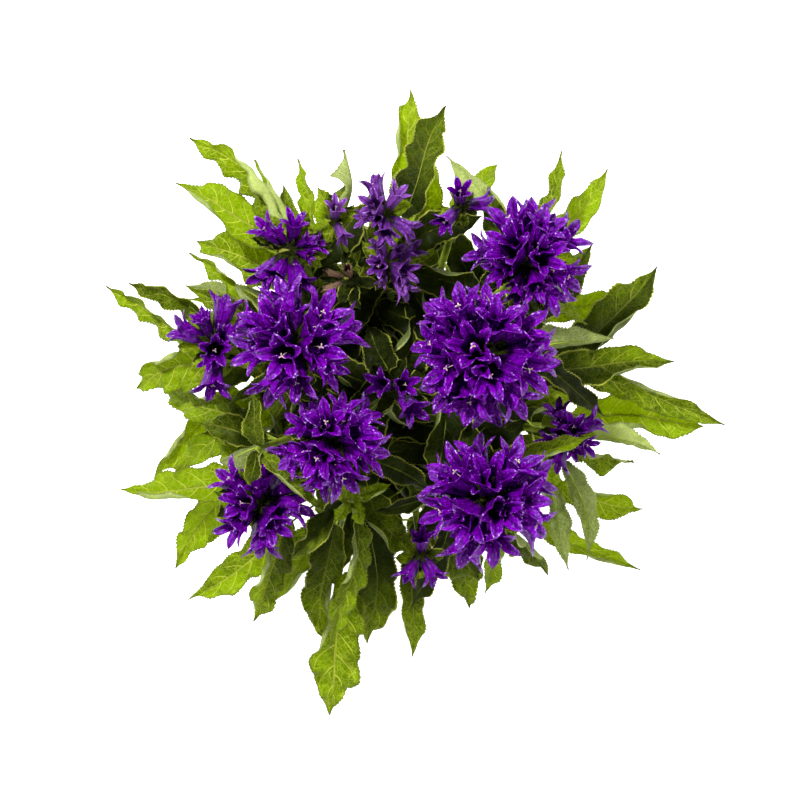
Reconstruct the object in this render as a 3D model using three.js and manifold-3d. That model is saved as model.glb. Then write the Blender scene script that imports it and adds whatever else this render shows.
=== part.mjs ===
// A clustered bellflower in a plain nursery pot: leafy stems that fan out of the soil,
// each with a head of star-mouthed violet bells on top.
// Millimetres, +Z up, +X to the right and +Y up in a view from straight above.
// The origin is the centre of the pot's flat base.
import * as THREE from "three";
import { mergeVertices } from "three/addons/utils/BufferGeometryUtils.js";
import Module from "manifold-3d";

const wasm = await Module();
wasm.setup();

// Pot and soil.
const POT_HEIGHT = 112;
const POT_BASE_RADIUS = 44;
const POT_MOUTH_RADIUS = 60;
const POT_WALL = 1.8;
const POT_FLOOR = 2.6;
const POT_SIDES = 28;
const RIM_REACH = 3.2;
const RIM_DEPTH = 9;
const FOOT_REACH = 1.2;
const FOOT_HEIGHT = 7;
const LIP_ROUND = 1.4;
const DRAIN_HOLES = 6;
const DRAIN_RADIUS = 4.5;
const DRAIN_RING = 30;
const SOIL_LEVEL = 99;
const SOIL_BUMP = 2.2;
const SOIL_SIDES = 20;
const SOIL_SHOULDER = 4;
const SOIL_RINGS = [0.94, 0.5];
const FIT_GAP = 0.35;

// Stems.
const STEM_FOOT_RADIUS = 2.6;
const STEM_TOP_RADIUS = 1.7;
const STEM_SIDES = 5;
const STEM_STEPS = 5;
const STEM_DEPTH = 16;
const FOOT_SPREAD = 0.3;
const LEAN = 0.66;
const LEAN_HEIGHT = 0.42;

// Leaves.
const BLADE_THICKNESS = 0.65;
const RIB_DEPTH = 1.25;
const STALK_HALF_WIDTH = 1.0;
const STATION_SPACING = 32;
const MOST_STATIONS = 6;
const BLADE_START = 0.02;
const BLADE_RUN = 0.93;
const BLADE_FULLNESS = 1.92;
const BLADE_BASE_CURVE = 0.42;
const BLADE_TIP_CURVE = 0.68;
const TOOTH = 0.08;
const GUTTER = 0.22;
const WAVE = 0.08;
const WAVE_PACE = 2.1;
const WAVE_SHIFT = 1.9;

// Florets: length out of the core, and the shape of the star mouth as shares of that length.
const FLORET_SHARE = 0.68;
const LONGEST_FLORET = 24;
const SHORTEST_FLORET = 14;
const SMALLEST_CORE = 4;
const FLORET_VARIETY = 0.16;
const FLORET_ROOT = 3;
const TIP_SPREAD = 0.54;
const NOTCH_SPREAD = 0.29;
const NOTCH_DEPTH = 0.26;
const THROAT_DEPTH = 0.62;
const CLOSED_SPREAD = [0.13, 0.08];
const PETAL_THICKNESS = 0.8;
const LEAST_ROOM = 0.6;
const LOBES = 5;
const GOLDEN_ANGLE = 137.508;
const DOME_EDGE = 84;
const FACING_VARIETY = 8;

// The lowest edge of a 20-faced core is this share of its radius under its centre.
const CORE_DEPTH = 0.8506;

// Vertices closer than this are one, and edges shorter than the second are dropped.
const MERGE_WITHIN = 1e-4;
const SHORTEST_EDGE = 0.02;

// Colours.
const GREEN = 0x6f9a1c;
const VIOLET = 0x5b17b0;
const LILAC = 0x8a5cc4;
const BROWN = 0x7a5a40;
const POT_BROWN = 0x5d3a28;
const PEAT = 0x2f2219;

const UP = new THREE.Vector3(0, 0, 1);
const radians = THREE.MathUtils.degToRad;

// The heads: centre, reach, number of florets, and facings chosen by hand on the sparse ones.
// A facing is [compass angle, tilt from upright] in degrees.
const HEADS = {
  north: { centre: [-9, 101, 270], reach: 20, florets: 6, start: 140, colour: LILAC },
  north_side: { centre: [-7, 75, 244], reach: 21, florets: 7, start: 200, colour: LILAC },
  north_small: { centre: [33, 107, 244], reach: 14, florets: 3, start: 90, colour: VIOLET },
  northeast: { centre: [69, 75, 280], reach: 33, florets: 12, start: 10, colour: VIOLET },
  east: { centre: [44, 25, 298], reach: 39, florets: 15, start: 150, colour: VIOLET },
  east_low: { centre: [93, -20, 226], reach: 20, florets: 6, start: 60, colour: VIOLET },
  southeast: { centre: [48, -54, 286], reach: 35.5, florets: 13, start: 310, colour: VIOLET },
  south_low: {
    centre: [12, -86, 216],
    reach: 18,
    colour: VIOLET,
    facings: [[236, 74], [300, 66], [90, 40]],
  },
  southwest: { centre: [-38, -21, 284], reach: 31, florets: 11, start: 100, colour: VIOLET },
  southwest_low: { centre: [-78, -58, 238], reach: 28, florets: 8, start: 170, colour: VIOLET },
  west: { centre: [-56, 29, 292], reach: 34, florets: 11, start: 220, colour: VIOLET },
  west_low: {
    centre: [-101, 29, 258],
    reach: 27,
    colour: VIOLET,
    facings: [[153, 74], [76, 80], [290, 6], [268, 62], [35, 70]],
  },
  northwest: {
    centre: [-60, 82, 256],
    reach: 26,
    colour: VIOLET,
    facings: [[140, 62], [80, 50], [10, 68], [225, 70], [285, 58]],
  },
  centre: {
    centre: [-3, 7, 258],
    reach: 23,
    colour: VIOLET,
    facings: [[167, 27], [14, 19], [309, 50]],
  },
  lilac: {
    centre: [-36, 98, 262],
    reach: 17,
    colour: LILAC,
    facings: [[80, 35], [300, 60]],
  },
  spent: {
    centre: [-27, 67, 242],
    reach: 20,
    colour: BROWN,
    closed: true,
    facings: [[165, 76], [205, 80], [30, 66], [330, 40], [110, 20]],
  },
};

// The tops of the young shoots that have no flowers yet.
const SHOOTS = {
  young: [-27, -56, 256],
  small: [-79, -27, 268],
};

// The leafy stems. Each leaf says how far up the stem it grows, where its tip is, its width,
// how high it arches, how far it sweeps aside, its roll in degrees and its bare stalk's share.
const STEMS = {
  north: [
    [0.5, [6, 177, 178], 20, 18, -4, 5, 0.35],
    [0.65, [26, 166, 196], 22, 12, 1, 25, 0.25],
    [0.16, [-8, 108, 118], 18, 16, 0, 0, 0.4],
  ],
  north_side: [
    [0.55, [40, 68, 184], 15, 10, 0, -10, 0.25],
  ],
  north_small: [
    [0.3, [18, 144, 165], 18, 16, 5, 0, 0.3],
    [0.8, [55, 133, 194], 15, 6, 2, 20, 0.1],
  ],
  northeast: [
    [0.4, [130, 62, 160], 15, 14, -6, 0, 0.35],
    [0.8, [104, 42, 222], 12, 6, 0, 40, 0.2],
    [0.85, [90, 138, 232], 12, 8, -3, 35, 0.15],
    [0.7, [117, 130, 204], 15, 10, -4, 10, 0.25],
    [0.78, [26, 137, 212], 12, 5, -9, 155, 0.2],
    [0.75, [49, 119, 222], 14, 8, 0, 10, 0.25],
    [0.6, [104, 106, 184], 13, 10, 0, 0, 0.3],
    [0.14, [84, 78, 112], 20, 16, 0, 0, 0.4],
  ],
  east: [
    [0.45, [186, -14, 168], 14, 24, 8, -10, 0.45],
    [0.72, [155, 22, 192], 20, 12, -2, -15, 0.28],
    [0.9, [118, 34, 244], 12, 6, 0, 150, 0.25],
    [0.86, [114, -9, 212], 13, 14, 9, 20, 0.3],
    [0.62, [146, 76, 184], 23, 14, -20, 0, 0.38],
    [0.52, [110, 89, 166], 20, 14, -4, 0, 0.35],
  ],
  east_low: [
    [0.65, [96, -97, 178], 10, 10, 0, 155, 0.4],
    [0.78, [106, -91, 188], 12, 8, 8, 160, 0.25],
    [0.82, [132, -35, 196], 19, 6, -3, -55, 0.2],
    [0.72, [148, -31, 184], 12, 8, 5, 150, 0.2],
    [0.5, [174, -15, 166], 22, 14, 4, 0, 0.3],
    [0.16, [114, -14, 112], 20, 18, 0, 0, 0.4],
  ],
  southeast: [
    [0.7, [6, -119, 182], 15, 8, 0, 25, 0.25],
    [0.52, [40, -120, 150], 19, 12, -3, 0, 0.4],
    [0.78, [48, -109, 192], 11, 8, 9, 25, 0.3],
    [0.8, [84, -99, 190], 15, 8, 0, -32, 0.3],
    [0.42, [140, -99, 138], 11, 12, -5, 12, 0.4],
    [0.36, [140, -63, 150], 16, 16, -4, 5, 0.55],
    [0.92, [104, -20, 262], 11, 5, 5, 10, 0.2],
    [0.14, [78, -76, 110], 20, 16, 0, 0, 0.4],
    [0.86, [-14, -62, 226], 10, 6, 0, 30, 0.2],
  ],
  south_low: [
    [0.6, [7, -149, 140], 13, 10, 0, 5, 0.2],
    [0.16, [14, -110, 110], 18, 16, 0, 0, 0.4],
  ],
  southwest: [
    [0.84, [18, -51, 214], 14, 8, 0, 0, 0.2],
  ],
  southwest_low: [
    [0.75, [-159, -51, 178], 20, 10, 0, -22, 0.15],
    [0.65, [-130, -97, 148], 19, 10, -12, 20, 0.15],
    [0.5, [-118, -86, 136], 8, 8, 0, 20, 0.2],
    [0.8, [-85, -128, 146], 17, 8, 7, 12, 0.2],
    [0.14, [-88, -64, 108], 20, 16, 0, 0, 0.4],
  ],
  west: [
    [0.86, [-116, 81, 246], 15, 8, -3, 55, 0.1],
    [0.35, [-143, -45, 138], 18, 16, -15, 15, 0.45],
    [0.45, [-130, -43, 156], 20, 16, -7, -20, 0.35],
    [0.86, [-95, -3, 236], 9, 6, 0, 25, 0.2],
    [0.62, [-78, 1, 192], 13, 8, 0, 0, 0.2],
    [0.88, [-94, 63, 246], 10, 5, 0, 0, 0.2],
    [0.78, [-119, 64, 222], 12, 6, 0, 25, 0.2],
  ],
  west_low: [
    [0.85, [-165, 64, 208], 14, 8, 3, 45, 0.1],
    [0.9, [-151, 65, 226], 13, 6, -7, 40, 0.1],
    [0.7, [-151, 7, 164], 25, 12, -5, 0, 0.15],
    [0.14, [-110, 34, 110], 20, 16, 0, 0, 0.4],
  ],
  northwest: [
    [0.8, [-57, 135, 214], 13, 8, -4, 40, 0.1],
    [0.6, [-66, 122, 186], 12, 10, 3, 10, 0.3],
    [0.9, [-117, 146, 226], 18, 8, -10, 38, 0.1],
    [0.85, [-81, 134, 222], 12, 8, -3, 52, 0.1],
    [0.7, [-127, 123, 186], 21, 14, -6, -8, 0.2],
    [0.55, [-116, 91, 168], 20, 14, 0, 8, 0.25],
    [0.4, [-124, 66, 150], 13, 10, 0, 160, 0.35],
    [0.35, [-123, 59, 136], 12, 10, 0, 10, 0.35],
    [0.14, [-78, 86, 112], 20, 16, 0, 0, 0.4],
  ],
  centre: [
    [0.6, [14, 50, 196], 22, 10, 0, 0, 0.15],
    [0.72, [-18, 42, 206], 18, 8, 0, 5, 0.2],
    [0.9, [-27, -14, 238], 10, 4, 0, 145, 0.05],
    [0.5, [25, -8, 202], 14, 8, -4, 20, 0.15],
  ],
  lilac: [
    [0.95, [-31, 138, 246], 17, 6, -5, 62, 0.05],
    [0.45, [-47, 122, 172], 17, 14, 0, 0, 0.35],
  ],
  spent: [
    [0.72, [-59, 62, 198], 19, 8, 0, 0, 0.1],
  ],
  young: [
    [0.4, [-123, -116, 140], 20, 22, 3, 5, 0.42],
    [0.88, [-61, -89, 214], 14, 8, 0, -35, 0.1],
    [0.6, [-72, -115, 150], 19, 14, 0, -10, 0.35],
    [0.75, [-42, -140, 152], 18, 10, -11, 0, 0.25],
    [0.85, [-41, -142, 172], 14, 8, 6, 18, 0.15],
    [0.42, [-41, -184, 128], 25, 22, 0, 0, 0.42],
    [0.6, [-19, -141, 142], 23, 12, 5, 0, 0.25],
    [0.97, [-5, -46, 262], 8, 4, 0, 10, 0.1],
    [0.99, [-38, -44, 268], 8, 4, 0, 10, 0.1],
    [0.99, [-36, -66, 266], 8, 4, 0, -10, 0.1],
    [0.99, [-20, -68, 266], 8, 4, 0, 10, 0.1],
    [0.99, [-22, -48, 272], 7, 3, 0, 10, 0.1],
  ],
  small: [
    [0.72, [-138, 8, 148], 17, 12, 0, -10, 0.25],
    [0.98, [-81, -46, 276], 9, 4, 0, 5, 0.05],
    [0.99, [-43, -60, 274], 8, 5, 0, 25, 0.05],
    [0.96, [-81, 5, 266], 11, 5, 0, 25, 0.05],
    [0.8, [-100, -35, 226], 12, 5, 0, 150, 0.1],
  ],
};

// A repeatable number from -0.5 to 0.5 for any whole number.
function scatter(k) {
  const noise = Math.sin((k + 1) * 12.9898) * 43758.5453;
  return noise - Math.floor(noise) - 0.5;
}

const vector = (point) => new THREE.Vector3(...point);

// Closes a row of rings into one solid. Points run anticlockwise about the way from the first
// ring to the last. A ring of one point is a pole, and `turned` lists the columns of quads
// whose diagonal runs the other way.
function loft(rings, turned = []) {
  const positions = [];
  const faces = [];
  const starts = [];
  for (const ring of rings) {
    starts.push(positions.length / 3);
    ring.forEach((point) => positions.push(point.x, point.y, point.z));
  }
  for (let k = 0; k + 1 < rings.length; k++) {
    const count = Math.max(rings[k].length, rings[k + 1].length);
    for (let i = 0; i < count; i++) {
      const j = (i + 1) % count;
      const [near, far] = [starts[k], starts[k + 1]];
      if (rings[k].length === 1) {
        faces.push(near, far + j, far + i);
      } else if (rings[k + 1].length === 1) {
        faces.push(near + i, near + j, far);
      } else if (turned.includes(i)) {
        faces.push(near + i, near + j, far + i, near + j, far + j, far + i);
      } else {
        faces.push(near + i, near + j, far + j, near + i, far + j, far + i);
      }
    }
  }
  for (const [k, atStart] of [[0, true], [rings.length - 1, false]]) {
    const count = rings[k].length;
    for (let step = 1; step + 1 < count && count > 1; step++) {
      const a = starts[k] + ((1 + step) % count);
      const b = starts[k] + ((2 + step) % count);
      faces.push(starts[k] + 1, atStart ? b : a, atStart ? a : b);
    }
  }
  const geometry = new THREE.BufferGeometry();
  geometry.setAttribute("position", new THREE.Float32BufferAttribute(positions, 3));
  geometry.setIndex(faces);
  return geometry;
}

// Turns a closed geometry into a solid that can be joined and cut.
function solidOf(geometry) {
  const bare = geometry.clone();
  bare.deleteAttribute("normal");
  bare.deleteAttribute("uv");
  const merged = mergeVertices(bare, MERGE_WITHIN);
  const corners = merged.index.array;
  const faces = [];
  for (let k = 0; k < corners.length; k += 3) {
    const face = [corners[k], corners[k + 1], corners[k + 2]];
    if (new Set(face).size === 3) faces.push(...face);
  }
  return new wasm.Manifold(new wasm.Mesh({
    numProp: 3,
    vertProperties: merged.attributes.position.array,
    triVerts: new Uint32Array(faces),
  }));
}

// Gives a solid back as a geometry.
function geometryOf(solid) {
  const mesh = solid.simplify(SHORTEST_EDGE).getMesh();
  const geometry = new THREE.BufferGeometry();
  geometry.setAttribute("position", new THREE.BufferAttribute(mesh.vertProperties, 3));
  geometry.setIndex(new THREE.BufferAttribute(mesh.triVerts, 1));
  return geometry;
}

const fuse = (solids) => solids.reduce((whole, next) => whole.add(next));

const finish = (colour, roughness) => new THREE.MeshStandardMaterial({
  color: colour,
  roughness,
  metalness: 0,
  side: THREE.DoubleSide,
});

function meshOf(name, solid, colour, roughness) {
  const geometry = geometryOf(solid);
  geometry.computeVertexNormals();
  const mesh = new THREE.Mesh(geometry, finish(colour, roughness));
  mesh.name = name;
  return mesh;
}

// The size of a head's core and of its florets follow from its reach.
function floretLength(head) {
  return THREE.MathUtils.clamp(head.reach * FLORET_SHARE, SHORTEST_FLORET, LONGEST_FLORET);
}

const coreRadius = (head) => Math.max(head.reach - floretLength(head), SMALLEST_CORE);

// A stem leans out of the soil and then stands up under its head.
function stemCurve(name) {
  const head = HEADS[name];
  const top = vector(head ? head.centre : SHOOTS[name]);
  if (head) top.z -= coreRadius(head) * CORE_DEPTH + FIT_GAP;
  const foot = new THREE.Vector3(top.x * FOOT_SPREAD, top.y * FOOT_SPREAD, SOIL_LEVEL);
  const bend = new THREE.Vector3(
    THREE.MathUtils.lerp(foot.x, top.x, LEAN),
    THREE.MathUtils.lerp(foot.y, top.y, LEAN),
    THREE.MathUtils.lerp(foot.z, top.z, LEAN_HEIGHT),
  );
  return new THREE.QuadraticBezierCurve3(foot, bend, top);
}

// A ring of points round a place, across a direction.
function ringAround(centre, along, radius, sides) {
  const side = new THREE.Vector3().crossVectors(along, Math.abs(along.x) < 0.9
    ? new THREE.Vector3(1, 0, 0)
    : new THREE.Vector3(0, 1, 0)).normalize();
  const across = new THREE.Vector3().crossVectors(along, side);
  return Array.from({ length: sides }, (_, i) => {
    const angle = (2 * Math.PI * i) / sides;
    return centre.clone()
      .addScaledVector(side, radius * Math.cos(angle))
      .addScaledVector(across, radius * Math.sin(angle));
  });
}

// A tapered stem from under the soil to its top, with some radius to spare for its hole.
function stemTube(curve, spare = 0, reach = 1) {
  const depth = STEM_DEPTH + spare;
  const root = curve.getPoint(0).addScaledVector(UP, -depth);
  const rings = [ringAround(root, UP, STEM_FOOT_RADIUS + spare, STEM_SIDES)];
  const steps = Math.ceil(STEM_STEPS * reach);
  for (let k = 0; k <= steps; k++) {
    const t = (k / steps) * reach;
    const radius = THREE.MathUtils.lerp(STEM_FOOT_RADIUS, STEM_TOP_RADIUS, t) + spare;
    const along = k === steps && reach === 1 ? UP : curve.getTangent(t).normalize();
    rings.push(ringAround(curve.getPoint(t), along, radius, STEM_SIDES));
  }
  return loft(rings);
}

// How wide the blade is, as a share of its widest, from its base at 0 to its tip at 1.
const bladeOutline = (u) => BLADE_FULLNESS * u ** BLADE_BASE_CURVE * (1 - u) ** BLADE_TIP_CURVE;

// One leaf from a point on its stem: a bare stalk, then a toothed and waved blade with a
// deeper rib, folded up a little along it.
function leaf(root, [, tip, width, arch, sweep, roll, stalk]) {
  const end = vector(tip);
  const flat = new THREE.Vector3(end.x - root.x, end.y - root.y, 0);
  const aside = new THREE.Vector3(-flat.y, flat.x, 0).normalize();
  const place = (s) => root.clone().lerp(end, s)
    .addScaledVector(UP, arch * 4 * s * (1 - s))
    .addScaledVector(aside, sweep * 4 * s * (1 - s));
  const length = root.distanceTo(end);
  const steps = Math.min(3 + Math.floor(length / STATION_SPACING), MOST_STATIONS);
  const shares = [0];
  for (let k = 0; k < steps; k++) {
    shares.push(stalk + (1 - stalk) * (BLADE_START + (BLADE_RUN * k) / (steps - 1)));
  }
  const rings = shares.map((s, k) => {
    const along = place(Math.min(s + 0.02, 1)).sub(place(s - 0.02)).normalize();
    const side = new THREE.Vector3().crossVectors(along, UP).normalize();
    const above = new THREE.Vector3().crossVectors(side, along);
    side.applyAxisAngle(along, radians(-roll));
    above.applyAxisAngle(along, radians(-roll));
    const u = Math.max((s - stalk) / (1 - stalk), 0);
    const tooth = 1 + TOOTH * (k % 2 ? 1 : -1);
    const half = Math.max((width / 2) * bladeOutline(u) * tooth, STALK_HALF_WIDTH);
    const blade = k > 1 ? 1 : 0;
    const lift = half * GUTTER * blade;
    const ripple = width * WAVE * blade;
    const edge = (way, down) => place(s)
      .addScaledVector(side, way * half)
      .addScaledVector(above, lift + ripple * Math.sin(k * WAVE_PACE + way * WAVE_SHIFT) - down);
    return [
      edge(-1, 0),
      place(s),
      edge(1, 0),
      edge(1, BLADE_THICKNESS),
      place(s).addScaledVector(above, -RIB_DEPTH),
      edge(-1, BLADE_THICKNESS),
    ];
  });
  rings.push([end]);
  return loft(rings, [1, 4]);
}

// Where the florets of a head face: by hand on a sparse head, and else spiralled over a dome.
function facingsOf(head) {
  if (head.facings) return head.facings;
  return Array.from({ length: head.florets }, (_, k) => [
    head.start + GOLDEN_ANGLE * k,
    DOME_EDGE * Math.sqrt((k + 0.5) / head.florets) + FACING_VARIETY * scatter(k + head.start),
  ]);
}

function directionOf([compass, tilt]) {
  return new THREE.Vector3(
    Math.sin(radians(tilt)) * Math.cos(radians(compass)),
    Math.sin(radians(tilt)) * Math.sin(radians(compass)),
    Math.cos(radians(tilt)),
  );
}

// How much of its full size a floret can have before it would reach into a neighbouring head.
function roomFor(head, direction, reach, spread) {
  let share = 1;
  for (const other of Object.values(HEADS)) {
    if (other === head) continue;
    const way = vector(other.centre).sub(vector(head.centre));
    const distance = way.length();
    way.normalize();
    const border = (distance ** 2 + head.reach ** 2 - other.reach ** 2) / (2 * distance);
    const towards = direction.dot(way);
    const extent = reach * towards + spread * Math.sqrt(1 - towards * towards);
    if (extent > 0) share = Math.min(share, (border - FIT_GAP) / extent);
  }
  return share;
}

// One floret: a funnel whose base is sunk in the core, and whose star mouth has five lobes.
// Heights along it are measured from the centre of the head.
function floret(centre, direction, sunk, mouth, size, closed) {
  const [notch, tip] = closed ? CLOSED_SPREAD : [NOTCH_SPREAD, TIP_SPREAD];
  const side = new THREE.Vector3().crossVectors(direction, Math.abs(direction.z) < 0.9
    ? UP
    : new THREE.Vector3(1, 0, 0)).normalize();
  const across = new THREE.Vector3().crossVectors(direction, side);
  const at = (radius, angle, height) => centre.clone()
    .addScaledVector(side, radius * Math.cos(angle))
    .addScaledVector(across, radius * Math.sin(angle))
    .addScaledVector(direction, height);
  const star = (thickness) => Array.from({ length: 2 * LOBES }, (_, i) => {
    const angle = (Math.PI * i) / LOBES;
    return i % 2 === 0
      ? at(size * tip, angle, mouth + thickness)
      : at(size * notch, angle, mouth - size * NOTCH_DEPTH);
  });
  const throat = at(0, 0, mouth - size * (closed ? NOTCH_DEPTH : THROAT_DEPTH));
  return loft([[at(0, 0, sunk)], star(0), star(PETAL_THICKNESS), [throat]]);
}

// A flower head: a small round core with florets that stand out of it.
function flowerHead(head) {
  const centre = vector(head.centre);
  const radius = coreRadius(head);
  const core = new THREE.IcosahedronGeometry(radius);
  core.translate(centre.x, centre.y, centre.z);
  const solids = [solidOf(core)];
  facingsOf(head).forEach((facing, k) => {
    const direction = directionOf(facing);
    const full = floretLength(head) * (1 + FLORET_VARIETY * scatter(3 * k + head.reach));
    const room = roomFor(head, direction, radius + full, full * TIP_SPREAD);
    if (room < LEAST_ROOM) return;
    const mouth = (radius + full) * room;
    const sunk = radius * CORE_DEPTH - FLORET_ROOT;
    solids.push(solidOf(floret(centre, direction, sunk, mouth, mouth - radius, head.closed)));
  });
  return fuse(solids);
}

function leafyStem(name) {
  const curve = stemCurve(name);
  const solids = [solidOf(stemTube(curve))];
  for (const row of STEMS[name]) {
    solids.push(solidOf(leaf(curve.getPoint(row[0]), row)));
  }
  return fuse(solids);
}

// The pot's wall at a height, outside and inside.
const potRadius = (z) => THREE.MathUtils.mapLinear(
  z, 0, POT_HEIGHT, POT_BASE_RADIUS, POT_MOUTH_RADIUS);

function pot() {
  const outline = [
    [0, 0],
    [POT_BASE_RADIUS + FOOT_REACH, 0],
    [potRadius(FOOT_HEIGHT) + FOOT_REACH, FOOT_HEIGHT],
    [potRadius(FOOT_HEIGHT + FOOT_REACH), FOOT_HEIGHT + FOOT_REACH],
    [potRadius(POT_HEIGHT - RIM_DEPTH) - LIP_ROUND / 4, POT_HEIGHT - RIM_DEPTH - LIP_ROUND],
    [POT_MOUTH_RADIUS + RIM_REACH, POT_HEIGHT - RIM_DEPTH],
    [POT_MOUTH_RADIUS + RIM_REACH, POT_HEIGHT - LIP_ROUND],
    [POT_MOUTH_RADIUS + RIM_REACH - LIP_ROUND, POT_HEIGHT],
    [POT_MOUTH_RADIUS - POT_WALL + LIP_ROUND, POT_HEIGHT],
    [POT_MOUTH_RADIUS - POT_WALL, POT_HEIGHT - LIP_ROUND],
    [potRadius(POT_FLOOR) - POT_WALL, POT_FLOOR],
    [0, POT_FLOOR],
  ].map(([radius, z]) => new THREE.Vector2(radius, z));
  let solid = solidOf(new THREE.LatheGeometry(outline, POT_SIDES).rotateX(Math.PI / 2));
  for (let k = 0; k < DRAIN_HOLES; k++) {
    const angle = (2 * Math.PI * (k + 0.5)) / DRAIN_HOLES;
    const hole = new THREE.CylinderGeometry(DRAIN_RADIUS, DRAIN_RADIUS, 4 * POT_FLOOR, 8);
    hole.rotateX(Math.PI / 2);
    hole.translate(DRAIN_RING * Math.cos(angle), DRAIN_RING * Math.sin(angle), POT_FLOOR / 2);
    solid = solid.subtract(solidOf(hole));
  }
  return solid;
}

// The soil fills the pot, with a low lumpy top and a plain hole for each stem.
function soil() {
  const wall = (z) => potRadius(z) - POT_WALL - FIT_GAP;
  const level = (share, i) => SOIL_LEVEL + SOIL_BUMP * (2 * scatter(share * 100 + i) + 1.5 - 2 * share);
  const ring = (radius, height) => Array.from({ length: SOIL_SIDES }, (_, i) => {
    const angle = (2 * Math.PI * i) / SOIL_SIDES;
    return new THREE.Vector3(radius * Math.cos(angle), radius * Math.sin(angle), height(i));
  });
  const floor = POT_FLOOR + FIT_GAP;
  let solid = solidOf(loft([
    ring(wall(floor), () => floor),
    ring(wall(SOIL_LEVEL - SOIL_SHOULDER), () => SOIL_LEVEL - SOIL_SHOULDER),
    ...SOIL_RINGS.map((share) => ring(wall(SOIL_LEVEL) * share, (i) => level(share, i))),
    [new THREE.Vector3(0, 0, SOIL_LEVEL + SOIL_BUMP)],
  ]));
  for (const name of Object.keys(STEMS)) {
    solid = solid.subtract(solidOf(stemTube(stemCurve(name), FIT_GAP, 1 / STEM_STEPS)));
  }
  return solid;
}

const plant = new THREE.Group();
plant.add(meshOf("pot", pot(), POT_BROWN, 0.6));
plant.add(meshOf("soil", soil(), PEAT, 0.95));
const stems = new THREE.Group();
for (const name of Object.keys(STEMS)) {
  stems.add(meshOf(`stem_${name}`, leafyStem(name), GREEN, 0.55));
}
plant.add(stems);
const heads = new THREE.Group();
for (const [name, head] of Object.entries(HEADS)) {
  heads.add(meshOf(`head_${name}`, flowerHead(head), head.colour, 0.6));
}
plant.add(heads);

export default plant;
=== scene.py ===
"""A clustered bellflower in its pot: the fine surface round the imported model.

Leafy stems fan out of the soil. Each carries a head of violet bells with cream styles.
Every length in the tables is in millimetres and becomes metres through MM.
"""
import logging
import math
from dataclasses import dataclass
from enum import Enum
from functools import partial
from typing import Callable, Optional, Sequence

import bpy
import numpy as np
from mathutils import Euler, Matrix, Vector


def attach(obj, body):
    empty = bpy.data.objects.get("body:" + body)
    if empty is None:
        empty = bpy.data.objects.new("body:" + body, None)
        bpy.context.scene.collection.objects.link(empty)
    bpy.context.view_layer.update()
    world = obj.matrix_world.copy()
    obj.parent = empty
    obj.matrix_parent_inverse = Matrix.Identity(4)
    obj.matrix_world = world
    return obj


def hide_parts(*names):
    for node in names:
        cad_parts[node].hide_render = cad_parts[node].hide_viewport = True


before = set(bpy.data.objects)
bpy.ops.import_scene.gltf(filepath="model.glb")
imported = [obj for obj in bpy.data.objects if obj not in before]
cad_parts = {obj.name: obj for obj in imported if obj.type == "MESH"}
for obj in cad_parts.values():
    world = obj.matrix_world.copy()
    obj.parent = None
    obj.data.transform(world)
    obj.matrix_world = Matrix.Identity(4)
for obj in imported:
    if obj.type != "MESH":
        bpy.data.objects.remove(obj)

logging.basicConfig(level=logging.INFO, format="%(message)s")
LOG = logging.getLogger("bellflower")

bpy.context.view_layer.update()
MM = 0.001
BODY = "root"

# Sizes shared with the solids.
SOIL_LEVEL = 99.0
STEM_FOOT_RADIUS = 2.6
STEM_TOP_RADIUS = 1.7
STEM_DEPTH = 16.0
FOOT_SPREAD = 0.3
LEAN = 0.66
LEAN_HEIGHT = 0.42
FIT_GAP = 0.35
CORE_DEPTH = 0.8506
STATION_SPACING = 32.0
MOST_STATIONS = 6
BLADE_START = 0.02
BLADE_RUN = 0.93
BLADE_FULLNESS = 1.92
BLADE_BASE_CURVE = 0.42
BLADE_TIP_CURVE = 0.68
GUTTER = 0.22
WAVE = 0.08
WAVE_PACE = 2.1
WAVE_SHIFT = 1.9
FLORET_SHARE = 0.68
LONGEST_FLORET = 24.0
SHORTEST_FLORET = 14.0
SMALLEST_CORE = 4.0
FLORET_VARIETY = 0.16
FLORET_ROOT = 3.0
TIP_SPREAD = 0.54
LEAST_ROOM = 0.6
GOLDEN_ANGLE = 137.508
DOME_EDGE = 84.0
FACING_VARIETY = 8.0
LOBES = 5
END = 1e-4

Points = np.ndarray
EAST = np.array((1.0, 0.0, 0.0))
NORTH = np.array((0.0, 1.0, 0.0))
UP = np.array((0.0, 0.0, 1.0))


class Bloom(Enum):
    """How far on the bells of a head are."""

    VIOLET = "violet"
    LILAC = "lilac"
    SPENT = "spent"


PETAL_SLOTS = {Bloom.VIOLET: "petal", Bloom.LILAC: "faded_petal", Bloom.SPENT: "spent_petal"}


@dataclass(frozen=True)
class Head:
    """A flower head: where it is, how far it reaches, and how its bells face.

    A facing is a compass angle and a tilt from upright, in degrees.
    """

    centre: tuple[float, float, float]
    reach: float
    florets: int = 0
    start: float = 0.0
    bloom: Bloom = Bloom.VIOLET
    facings: tuple[tuple[float, float], ...] = ()


@dataclass(frozen=True)
class Leaf:
    """A leaf: how far up its stem it grows, its tip, width, arch, sweep, roll and stalk."""

    at: float
    tip: tuple[float, float, float]
    width: float
    arch: float
    sweep: float
    roll: float
    stalk: float


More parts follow.
